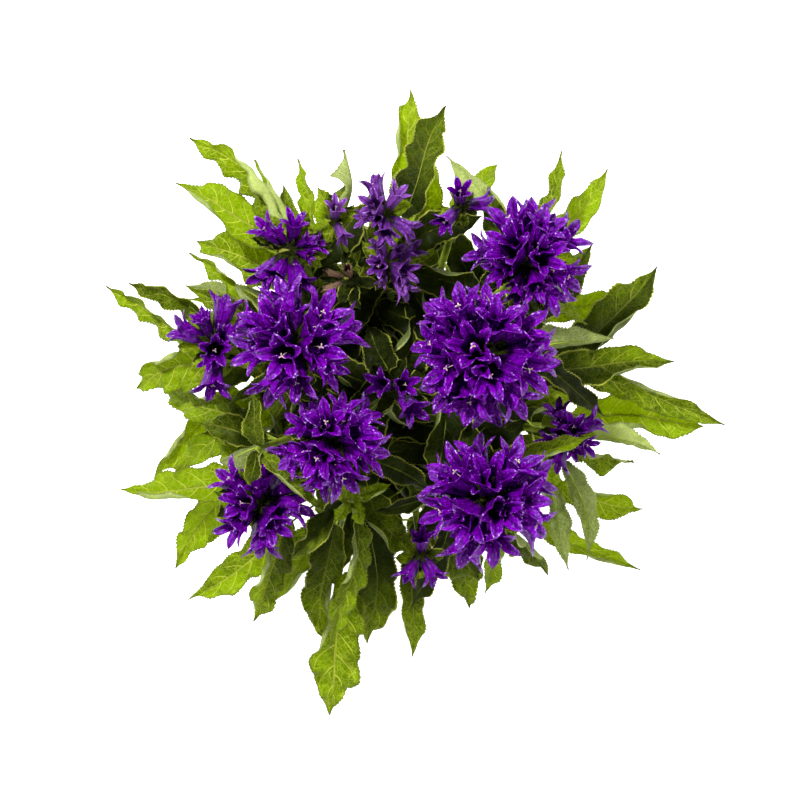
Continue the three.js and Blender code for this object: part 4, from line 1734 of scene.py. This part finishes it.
@dataclass
class Style:
    """The cream style in a bell, with arms that curl out. Shares are of the bell's size."""

    bell: Bell
    arms: int = 3
    column_net: tuple[int, int] = (6, 4)
    arm_net: tuple[int, int] = (5, 5)
    length_share: float = 0.8
    radius_share: float = 0.013
    reach_share: float = 0.052
    curl: float = 2.2
    swelling: float = 0.3
    sunk: float = 0.3

    def foot(self) -> Points:
        """Return where the style stands."""
        return self.bell.centre + self.bell.direction * self.bell.base

    def length(self) -> float:
        """Return how far up the bell the column reaches, in millimetres."""
        return (self.bell.mouth - self.bell.base) * self.length_share

    def column_places(self, across: Points, along: Points) -> Points:
        """Place the column's net.

        Args:
            across: once round, from -1 to 1.
            along: from 0 at its foot to 1 at its top.

        Returns:
            The places, one a row.
        """
        side, up = self.bell.frame()
        radius = self.bell.size * self.radius_share * open_ends(along)
        middle = self.foot() + self.bell.direction * (along * self.length())[:, None]
        return ring_places(middle, side, up, radius, across * math.pi)

    def arm_places(self, way: float, across: Points, along: Points) -> Points:
        """Place the net of one arm.

        Args:
            way: which way round the bell it curls, in radians.
            across: once round, from -1 to 1.
            along: from 0 at its root to 1 at its tip.

        Returns:
            The places, one a row.
        """
        side, up = self.bell.frame()
        axis = self.bell.direction
        out = side * math.cos(way) + up * math.sin(way)
        reach = self.bell.size * self.reach_share
        bend = along * self.curl
        rise = self.length() - self.sunk + reach * np.sin(bend)
        line = self.foot() + axis * rise[:, None] + out * (reach * (1 - np.cos(bend)))[:, None]
        radius = self.bell.size * self.radius_share * open_ends(along)
        radius = radius * (1 + self.swelling * along)
        return ring_places(line, np.cross(out, axis), axis, radius, across * math.pi)

    def build(self, bench: Bench, name: str) -> list[bpy.types.Object]:
        """Build the column and its arms.

        Args:
            bench: the modelling bench.
            name: the start of the objects' names.

        Returns:
            The objects.
        """
        parts = [bench.shaped(f"style_{name}", *self.column_net, self.column_places,
                              across_along)]
        for k in range(self.arms):
            way = 2 * math.pi * k / self.arms + self.bell.seed
            parts.append(bench.shaped(f"arm_{name}_{k}", *self.arm_net,
                                      partial(self.arm_places, way), across_along))
        return parts


@dataclass(frozen=True)
class BractRing:
    """The ring of small leaves that a head sits in. Widths are shares of the head's reach."""

    few: int = 6
    many: int = 10
    small_reach: float = 24.0
    compass_range: float = 40.0
    tilt: float = 96.0
    tilt_range: float = 26.0
    root_out: float = 0.5
    root_down: float = 0.3
    reach: float = 0.84
    reach_range: float = 0.2
    width: float = 0.36
    width_range: float = 0.12
    arch: float = 1.5
    sweep_range: float = 3.0
    roll_range: float = 50.0
    stalk: float = 0.02
    columns: int = 6

    def blades(self, head: Head, number: int) -> list[Blade]:
        """Work out the blades of a head's ring.

        Args:
            head: the head.
            number: the head's number, which seeds them.

        Returns:
            The blades.
        """
        centre = np.array(head.centre, dtype=float)
        core = core_radius(head)
        count = self.few if head.reach < self.small_reach else self.many
        made = []
        for k in range(count):
            seed = number * 13 + k
            compass = 360 * k / count + self.compass_range * scatter(seed)
            direction = direction_of(compass, self.tilt + self.tilt_range * scatter(seed + 0.2))
            root = centre + direction * core * self.root_out - UP * core * self.root_down
            out = self.reach + self.reach_range * scatter(seed + 0.4)
            tip = centre + direction * head.reach * out
            width = head.reach * (self.width + self.width_range * scatter(seed + 0.6))
            leaf = Leaf(0.0, tuple(tip), width, self.arch, self.sweep_range * scatter(seed),
                        self.roll_range * scatter(seed + 0.8), self.stalk)
            made.append(Blade(leaf, root, seed, columns=self.columns))
        return made


@dataclass
class FlowerHead:
    """A head: its bells, the green cups and leaves below them, and their styles."""

    name: str
    head: Head
    seed: int
    ring: BractRing = BractRing()
    petal_thickness: float = 0.28
    cup_thickness: float = 0.3
    style_share: float = 0.62
    spin_range: float = 72.0
    opening_range: float = 26.0
    closest: float = 24.0
    widest: float = 75.0
    third_pull: float = 0.35
    between_share: float = 0.72
    between_range: float = 0.2
    between_opening: float = 20.0
    between_ease: float = 8.0
    violet_fade: float = 0.1
    lilac_fade: float = 0.3
    lilac_fade_range: float = 0.6
    core_net: tuple[int, int] = (24, 16)
    core_share: float = 0.78
    knot: float = 0.1

    def facings(self) -> list[tuple[float, float]]:
        """Work out where the bells face.

        Returns:
            The compass angle and the tilt of each bell, in degrees.
        """
        head = self.head
        if head.facings:
            return list(head.facings)
        return [(head.start + GOLDEN_ANGLE * k,
                 DOME_EDGE * math.sqrt((k + 0.5) / head.florets)
                 + FACING_VARIETY * scatter(k + head.start)) for k in range(head.florets)]

    def room(self, direction: Points, reach: float, spread: float) -> float:
        """Work out how large a bell can be beside the other heads.

        Args:
            direction: the bell's axis.
            reach: how far out its tips are.
            spread: how far they spread to the side.

        Returns:
            The share of its full size, at most 1.
        """
        share = 1.0
        for other in HEADS.values():
            if other is self.head:
                continue
            way = np.array(other.centre, dtype=float) - np.array(self.head.centre, dtype=float)
            distance = float(np.linalg.norm(way))
            border = (distance ** 2 + self.head.reach ** 2 - other.reach ** 2) / (2 * distance)
            towards = float(direction @ way) / distance
            extent = reach * towards + spread * math.sqrt(max(1 - towards * towards, 0.0))
            if extent > 0:
                share = min(share, (border - FIT_GAP) / extent)
        return share

    def fade(self, seed: float) -> float:
        """Work out how faded a bell of this head is.

        Args:
            seed: the bell's own number.

        Returns:
            From 0 for fresh to 1 for pale.
        """
        if self.head.bloom is Bloom.LILAC:
            return self.lilac_fade + self.lilac_fade_range * scatter(seed + 0.25)
        return self.violet_fade * (scatter(seed) + 0.5)

    def bells(self) -> list[Bell]:
        """Work out every bell of the head.

        Returns:
            The full bells and then the shorter ones between them.
        """
        head = self.head
        centre = np.array(head.centre, dtype=float)
        radius = core_radius(head)
        made = []
        for k, (compass, tilt) in enumerate(self.facings()):
            direction = direction_of(compass, tilt)
            full = floret_length(head) * (1 + FLORET_VARIETY * scatter(3 * k + head.reach))
            room = self.room(direction, radius + full, full * TIP_SPREAD)
            if room < LEAST_ROOM:
                continue
            mouth = (radius + full) * room
            seed = self.seed * 31 + k
            made.append(Bell(
                centre, direction, radius * CORE_DEPTH - FLORET_ROOT, mouth, mouth - radius,
                self.spin_range * scatter(seed), self.opening_range * scatter(seed + 0.5),
                self.fade(seed), seed, head.bloom is Bloom.SPENT))
        return made + self.between(made)

    def between(self, bells: list[Bell]) -> list[Bell]:
        """Work out the shorter bells that grow in the gaps between neighbours.

        Args:
            bells: the full bells.

        Returns:
            The shorter bells.
        """
        made = []
        for k, bell in enumerate(bells):
            others = sorted(bells, key=lambda b: -float(b.direction @ bell.direction))[1:4]
            if len(others) < 3:
                continue
            other = others[k % 3]
            cosine = float(other.direction @ bell.direction)
            apart = math.degrees(math.acos(max(min(cosine, 1.0), -1.0)))
            if not self.closest <= apart <= self.widest:
                continue
            third = others[(k + 1) % 3]
            direction = unit(bell.direction + other.direction
                             + self.third_pull * third.direction)
            share = self.between_share + self.between_range * scatter(bell.seed + 0.4)
            size = min(bell.size, other.size) * share
            opening = self.between_opening * scatter(bell.seed + 0.9) - self.between_ease
            made.append(Bell(
                bell.centre, direction, bell.base, size + core_radius(self.head), size,
                self.spin_range * scatter(bell.seed + 0.7), opening, bell.fade,
                bell.seed + 0.5, bell.closed))
        return made

    def core_places(self, across: Points, along: Points) -> Points:
        """Place the net of the knotty green core that the bells grow from.

        Args:
            across: once round, from -1 to 1.
            along: from 0 at the lower pole to 1 at the upper one.

        Returns:
            The places, one a row.
        """
        centre = np.array(self.head.centre, dtype=float)
        radius = core_radius(self.head) * self.core_share
        around, down = across * math.pi, along * math.pi
        knots = 1 + self.knot * np.sin(5 * around) * np.sin(6 * down)
        ring = np.sin(down) * radius * knots * open_ends(along)
        middle = centre - UP * (np.cos(down) * radius)[:, None]
        return ring_places(middle, EAST, NORTH, ring, around)

    def petals(self, bench: Bench, finishes: Finishes, bells: list[Bell]) -> None:
        """Build the petals of all the bells in one piece.

        Args:
            bench: the modelling bench.
            finishes: the materials.
            bells: the head's bells.
        """
        sheets = [bell.build(bench, f"bell_{self.name}_{k}") for k, bell in enumerate(bells)]
        petals = bench.joined(f"bells_{self.name}", sheets)
        bench.weld(petals)
        bench.thicken(petals, self.petal_thickness)
        bench.smoothed(petals)
        dressed(petals, PETAL_SLOTS[self.head.bloom], [finishes.petals[self.head.bloom]],
                [f"head_{self.name}"])

    def greens(self, bench: Bench, finishes: Finishes, bells: list[Bell]) -> None:
        """Build the cups, the ring of bracts and the core in one piece.

        Args:
            bench: the modelling bench.
            finishes: the materials.
            bells: the head's bells.
        """
        sheets = [Calyx(bell).build(bench, f"calyx_{self.name}_{k}")
                  for k, bell in enumerate(bells)]
        sheets += [bench.shaped(f"bract_{self.name}_{k}", blade.columns, blade.rows(),
                                blade.blade_places, across_along, {"tone": blade.tone})
                   for k, blade in enumerate(self.ring.blades(self.head, self.seed))]
        cups = bench.joined(f"calyxes_{self.name}", sheets)
        bench.weld(cups)
        bench.thicken(cups, self.cup_thickness)
        # Painted shade: the core gets the darkest tone.
        core = bench.shaped(f"core_{self.name}", *self.core_net, self.core_places,
                            across_along, {"tone": 0.0})
        bench.weld(core)
        cups = bench.joined(cups.name, [cups, core])
        bench.smoothed(cups)
        dressed(cups, "leaf", [finishes.leaf_top])

    def styles(self, bench: Bench, finishes: Finishes, bells: list[Bell]) -> None:
        """Build the styles that show, in one piece.

        Args:
            bench: the modelling bench.
            finishes: the materials.
            bells: the head's bells.
        """
        parts = [part for k, bell in enumerate(bells)
                 if scatter(bell.seed + 0.3) + 0.5 > 1 - self.style_share
                 for part in Style(bell).build(bench, f"{self.name}_{k}")]
        if parts:
            styles = bench.joined(f"styles_{self.name}", parts)
            bench.weld(styles)
            bench.smoothed(styles)
            dressed(styles, "style", [finishes.style])

    def build(self, bench: Bench, finishes: Finishes) -> None:
        """Build the head's pieces. A withered head has lost its styles.

        Args:
            bench: the modelling bench.
            finishes: the materials.
        """
        bells = self.bells()
        self.petals(bench, finishes, bells)
        self.greens(bench, finishes, bells)
        if self.head.bloom is not Bloom.SPENT:
            self.styles(bench, finishes, bells)


@dataclass
class Pot:
    """The nursery pot, turned from its outline, with drain holes in its floor."""

    height: float = 112.0
    base_radius: float = 44.0
    mouth_radius: float = 60.0
    wall: float = 1.8
    floor: float = 2.6
    rim_reach: float = 3.2
    rim_depth: float = 9.0
    foot_reach: float = 1.2
    foot_height: float = 7.0
    lip_round: float = 1.4
    foot_bevel: float = 0.8
    rim_bevel: float = 0.6
    corner_out: float = 0.6
    corner_in: float = 1.0
    corner_rise: float = 1.5
    drain_holes: int = 6
    drain_radius: float = 4.5
    drain_ring: float = 30.0
    sides: int = 112

    def radius(self, z: float) -> float:
        """Return the wall's outer radius at a height."""
        return self.base_radius + (self.mouth_radius - self.base_radius) * z / self.height

    def outline(self) -> list[tuple[float, float]]:
        """Work out the outline from under the floor, up outside and down inside.

        Returns:
            Radius and height of each of its points.
        """
        top, lip = self.height, self.lip_round
        foot_top = self.foot_height + self.foot_reach
        outer = self.mouth_radius + self.rim_reach
        inner = self.mouth_radius - self.wall
        corner = self.radius(self.floor) - self.wall
        points = [(self.base_radius + self.foot_reach - self.foot_bevel, 0.0),
                  (self.base_radius + self.foot_reach, self.foot_bevel),
                  (self.radius(self.foot_height) + self.foot_reach, self.foot_height),
                  (self.radius(foot_top), foot_top)]
        under = top - self.rim_depth
        for share in (0.2, 0.4, 0.6, 0.8):
            z = foot_top + (under - self.foot_height) * share
            points.append((self.radius(z), z))
        points += [(self.radius(under) - lip / 4, under - lip),
                   (outer - self.rim_bevel, under - 0.1), (outer, under + 0.5),
                   (outer, top - lip), (outer - lip * 0.3, top - lip * 0.3), (outer - lip, top),
                   (inner + lip, top), (inner + lip * 0.3, top - lip * 0.3), (inner, top - lip),
                   (corner + self.corner_out, self.floor + self.corner_rise),
                   (corner - self.corner_in, self.floor)]
        return points

    def shell(self, bench: Bench) -> bpy.types.Object:
        """Draw the pot up from a circle, ring by ring.

        Args:
            bench: the modelling bench.

        Returns:
            The closed shell, without its drain holes.
        """
        outline = self.outline()
        bench.clear()
        radius, z = outline[0]
        bpy.ops.mesh.primitive_circle_add(vertices=self.sides, radius=radius * MM,
                                          location=(0, 0, z * MM), fill_type="NOTHING")
        shell = bpy.context.object
        shell.name = "pot_shell"
        bpy.ops.object.transform_apply(location=True, rotation=True, scale=True)
        bpy.ops.object.mode_set(mode="EDIT")
        bpy.ops.mesh.select_all(action="SELECT")
        for next_radius, next_z in outline[1:]:
            bpy.ops.mesh.extrude_region_move(
                TRANSFORM_OT_translate={"value": (0, 0, (next_z - z) * MM)})
            scale = next_radius / radius
            bpy.ops.transform.resize(value=(scale, scale, 1), center_override=(0, 0, 0))
            radius, z = next_radius, next_z
        bpy.ops.mesh.select_all(action="SELECT")
        bpy.ops.mesh.fill_holes(sides=0)
        bpy.ops.mesh.select_all(action="SELECT")
        bpy.ops.mesh.normals_make_consistent(inside=False)
        bpy.ops.object.mode_set(mode="OBJECT")
        return shell

    def drill(self, bench: Bench) -> bpy.types.Object:
        """Make the ring of plugs that bores the drain holes.

        Args:
            bench: the modelling bench.

        Returns:
            The plugs, joined.
        """
        plugs = []
        for k in range(self.drain_holes):
            angle = 2 * math.pi * (k + 0.5) / self.drain_holes
            bench.clear()
            bpy.ops.mesh.primitive_cylinder_add(
                vertices=32, radius=self.drain_radius * MM, depth=self.floor * 4 * MM,
                location=(self.drain_ring * math.cos(angle) * MM,
                          self.drain_ring * math.sin(angle) * MM, self.floor / 2 * MM))
            plugs.append(bpy.context.object)
        return bench.joined("pot_drill", plugs)

    def build(self, bench: Bench, finishes: Finishes) -> None:
        """Build the pot and bore its drain holes.

        Args:
            bench: the modelling bench.
            finishes: the materials.
        """
        shell = self.shell(bench)
        drill = self.drill(bench)
        bench.only(shell)
        bore = shell.modifiers.new("drain holes", "BOOLEAN")
        bore.operation = "DIFFERENCE"
        bore.object = drill
        bpy.ops.object.modifier_apply(modifier=bore.name)
        bpy.data.objects.remove(drill)
        bench.only(shell)
        bpy.ops.object.shade_smooth_by_angle(angle=math.radians(35))
        dressed(shell, "pot", [finishes.pot], ["pot"])


@dataclass
class Soil:
    """The peat in the pot: a lumpy top with loose crumbs. Lengths are in millimetres."""

    wall_radius: float = 56.0
    floor: float = 3.0
    floor_radius: float = 42.0
    shoulder: float = 3.0
    wall_share: float = 0.3
    crown: float = 2.0
    lump: float = 1.2
    fine_lump: float = 0.8
    hollow: float = 3.4
    rings: int = 52
    sides: int = 96
    crumbs: int = 420
    crumb_size: float = 1.0
    crumb_range: float = 1.5
    crumb_shift: float = 3.0

    def height(self, x: Points, y: Points) -> Points:
        """Work out the height of the peat's surface.

        Args:
            x: places across.
            y: places along.

        Returns:
            The heights.
        """
        away = np.hypot(x, y)
        lumps = np.sin(x * 0.31 + 1.7) * np.sin(y * 0.27 + 0.4) * self.lump
        fine = np.sin(x * 0.93 + y * 0.41) * np.sin(y * 1.13 - x * 0.37) * self.fine_lump
        level = SOIL_LEVEL + self.crown - self.hollow * (away / self.wall_radius) ** 2
        return level + lumps + fine

    def places(self, across: Points, along: Points) -> Points:
        """Place the block's net: up the wall from the floor's middle, then in over the top.

        Args:
            across: once round, from -1 to 1.
            along: from 0 at the floor to 1 in the middle of the top.

        Returns:
            The places, one a row.
        """
        rise = np.clip(along / self.wall_share, 0, 1)
        inward = np.clip((along - self.wall_share) / (1 - self.wall_share), 0, 1)
        wall = self.floor_radius + (self.wall_radius - self.floor_radius) * rise
        on_wall = along < self.wall_share
        radius = np.where(on_wall, wall, self.wall_radius * (1 - inward)) * (along >= END)
        x, y = radius * np.cos(across * math.pi), radius * np.sin(across * math.pi)
        side = self.floor + (SOIL_LEVEL - self.shoulder - self.floor) * rise
        return np.stack((x, y, np.where(on_wall, side, self.height(x, y))), axis=1)

    def loose_crumbs(self, bench: Bench) -> list[bpy.types.Object]:
        """Scatter copies of one lump over the top.

        Args:
            bench: the modelling bench.

        Returns:
            The crumbs.
        """
        bench.clear()
        bpy.ops.mesh.primitive_ico_sphere_add(subdivisions=1, radius=1.0)
        lump = bpy.context.object
        made = []
        for k in range(self.crumbs):
            angle = math.radians(GOLDEN_ANGLE * k)
            away = (self.wall_radius - self.crumb_shift) * math.sqrt((k + 0.5) / self.crumbs)
            x = away * math.cos(angle) + self.crumb_shift * scatter(k)
            y = away * math.sin(angle) + self.crumb_shift * scatter(k + 0.3)
            size = (self.crumb_size + self.crumb_range * (scatter(k + 0.7) + 0.5) ** 2) * MM
            crumb = lump.copy()
            crumb.data = lump.data.copy()
            crumb.location = (x * MM, y * MM, (float(self.height(x, y)) + 0.2) * MM)
            crumb.rotation_euler = Euler((k, 2 * k, 3 * k))
            crumb.scale = (size, size * (0.7 + 0.5 * (scatter(k + 0.9) + 0.5)), size * 0.75)
            bpy.context.collection.objects.link(crumb)
            made.append(crumb)
        bpy.data.objects.remove(lump)
        return made

    def build(self, bench: Bench, finishes: Finishes) -> None:
        """Build the peat as a turned block with a shaped top, and scatter its crumbs.

        Args:
            bench: the modelling bench.
            finishes: the materials.
        """
        block = bench.shaped("peat_block", self.sides, self.rings, self.places, across_along)
        bench.weld(block, 1e-5)
        peat = bench.joined("peat", [block] + self.loose_crumbs(bench))
        dressed(peat, "soil", [finishes.peat], ["soil"])


@dataclass(frozen=True)
class Lamp:
    """A square soft lamp, in metres and watts."""

    name: str
    place: tuple[float, float, float]
    size: float
    power: float

    def hang(self, aim: tuple[float, float, float]) -> None:
        """Hang the lamp and turn it.

        Args:
            aim: the place that it shines on.
        """
        data = bpy.data.lights.new(self.name, "AREA")
        data.size = self.size
        data.energy = self.power
        lamp = bpy.data.objects.new(self.name, data)
        lamp.location = self.place
        way = Vector(aim) - Vector(self.place)
        lamp.rotation_euler = way.to_track_quat("-Z", "Y").to_euler()
        bpy.context.collection.objects.link(lamp)


@dataclass
class Studio:
    """The plain pale floor, the soft lights and the camera straight above, in metres."""

    camera_height: float = 2.18
    frame_width_at_flowers: float = 0.4286
    flower_distance: float = 1.88
    sensor: float = 36.0
    floor_size: float = 12.0
    floor_glow: float = 1.0
    sky: float = 0.1
    paper: Colour = (0.9, 0.9, 0.9, 1)
    white: Colour = (1, 1, 1, 1)
    lamps: tuple[Lamp, ...] = (
        Lamp("key_light", (-0.6, 0.8, 1.7), 0.2, 70.0),
        Lamp("side_light", (1.2, 0.4, 1.5), 0.35, 26.0),
        Lamp("front_light", (0.2, -1.2, 1.6), 0.45, 20.0))
    aim: tuple[float, float, float] = (0.0, 0.0, 0.2)

    def floor(self) -> None:
        """Build the floor as a light table, which lights the leaves from below too."""
        Bench.clear()
        bpy.ops.mesh.primitive_plane_add(size=self.floor_size, location=(0, 0, 0))
        floor = bpy.context.object
        floor.name = "studio_floor"
        paper = bpy.data.materials.new("white light table")
        paper.use_nodes = True
        surface = paper.node_tree.nodes["Principled BSDF"]
        surface.inputs["Base Color"].default_value = self.paper
        surface.inputs["Roughness"].default_value = 0.9
        surface.inputs["Specular IOR Level"].default_value = 0.1
        surface.inputs["Emission Color"].default_value = self.white
        surface.inputs["Emission Strength"].default_value = self.floor_glow
        floor.data.materials.append(paper)

    def lights(self) -> None:
        """Set up the soft lamps and the white sky."""
        for lamp in self.lamps:
            lamp.hang(self.aim)
        world = bpy.data.worlds.new("soft white")
        world.use_nodes = True
        background = world.node_tree.nodes["Background"]
        background.inputs["Color"].default_value = self.white
        background.inputs["Strength"].default_value = self.sky
        bpy.context.scene.world = world

    def camera(self) -> None:
        """Hang the camera straight above the plant."""
        lens = bpy.data.cameras.new("camera")
        lens.sensor_width = self.sensor
        lens.lens = self.sensor * self.flower_distance / self.frame_width_at_flowers
        camera = bpy.data.objects.new("camera", lens)
        camera.location = (0, 0, self.camera_height)
        bpy.context.collection.objects.link(camera)
        bpy.context.scene.camera = camera
        bpy.context.scene.view_settings.view_transform = "Standard"

    def build(self) -> None:
        """Build the floor, the lights and the camera."""
        self.floor()
        self.lights()
        self.camera()


def report() -> None:
    """Log the scene's triangles."""
    total = 0
    for mesh in {piece.data for piece in bpy.data.objects if piece.type == "MESH"}:
        total += sum(len(polygon.vertices) - 2 for polygon in mesh.polygons)
    LOG.info("whole scene: %d triangles", total)


def main() -> None:
    """Build every piece in order and report it."""
    bench = Bench()
    finishes = Finishes()
    Studio().build()
    Pot().build(bench, finishes)
    Soil().build(bench, finishes)
    for seed, (name, rows) in enumerate(STEMS.items()):
        LeafyStem(name, rows, seed).build(bench, finishes)
    for seed, (name, head) in enumerate(HEADS.items()):
        FlowerHead(name, head, seed).build(bench, finishes)
    for mesh in bench.nets.values():
        bpy.data.meshes.remove(mesh)
    report()


if __name__ == "__main__":
    main()
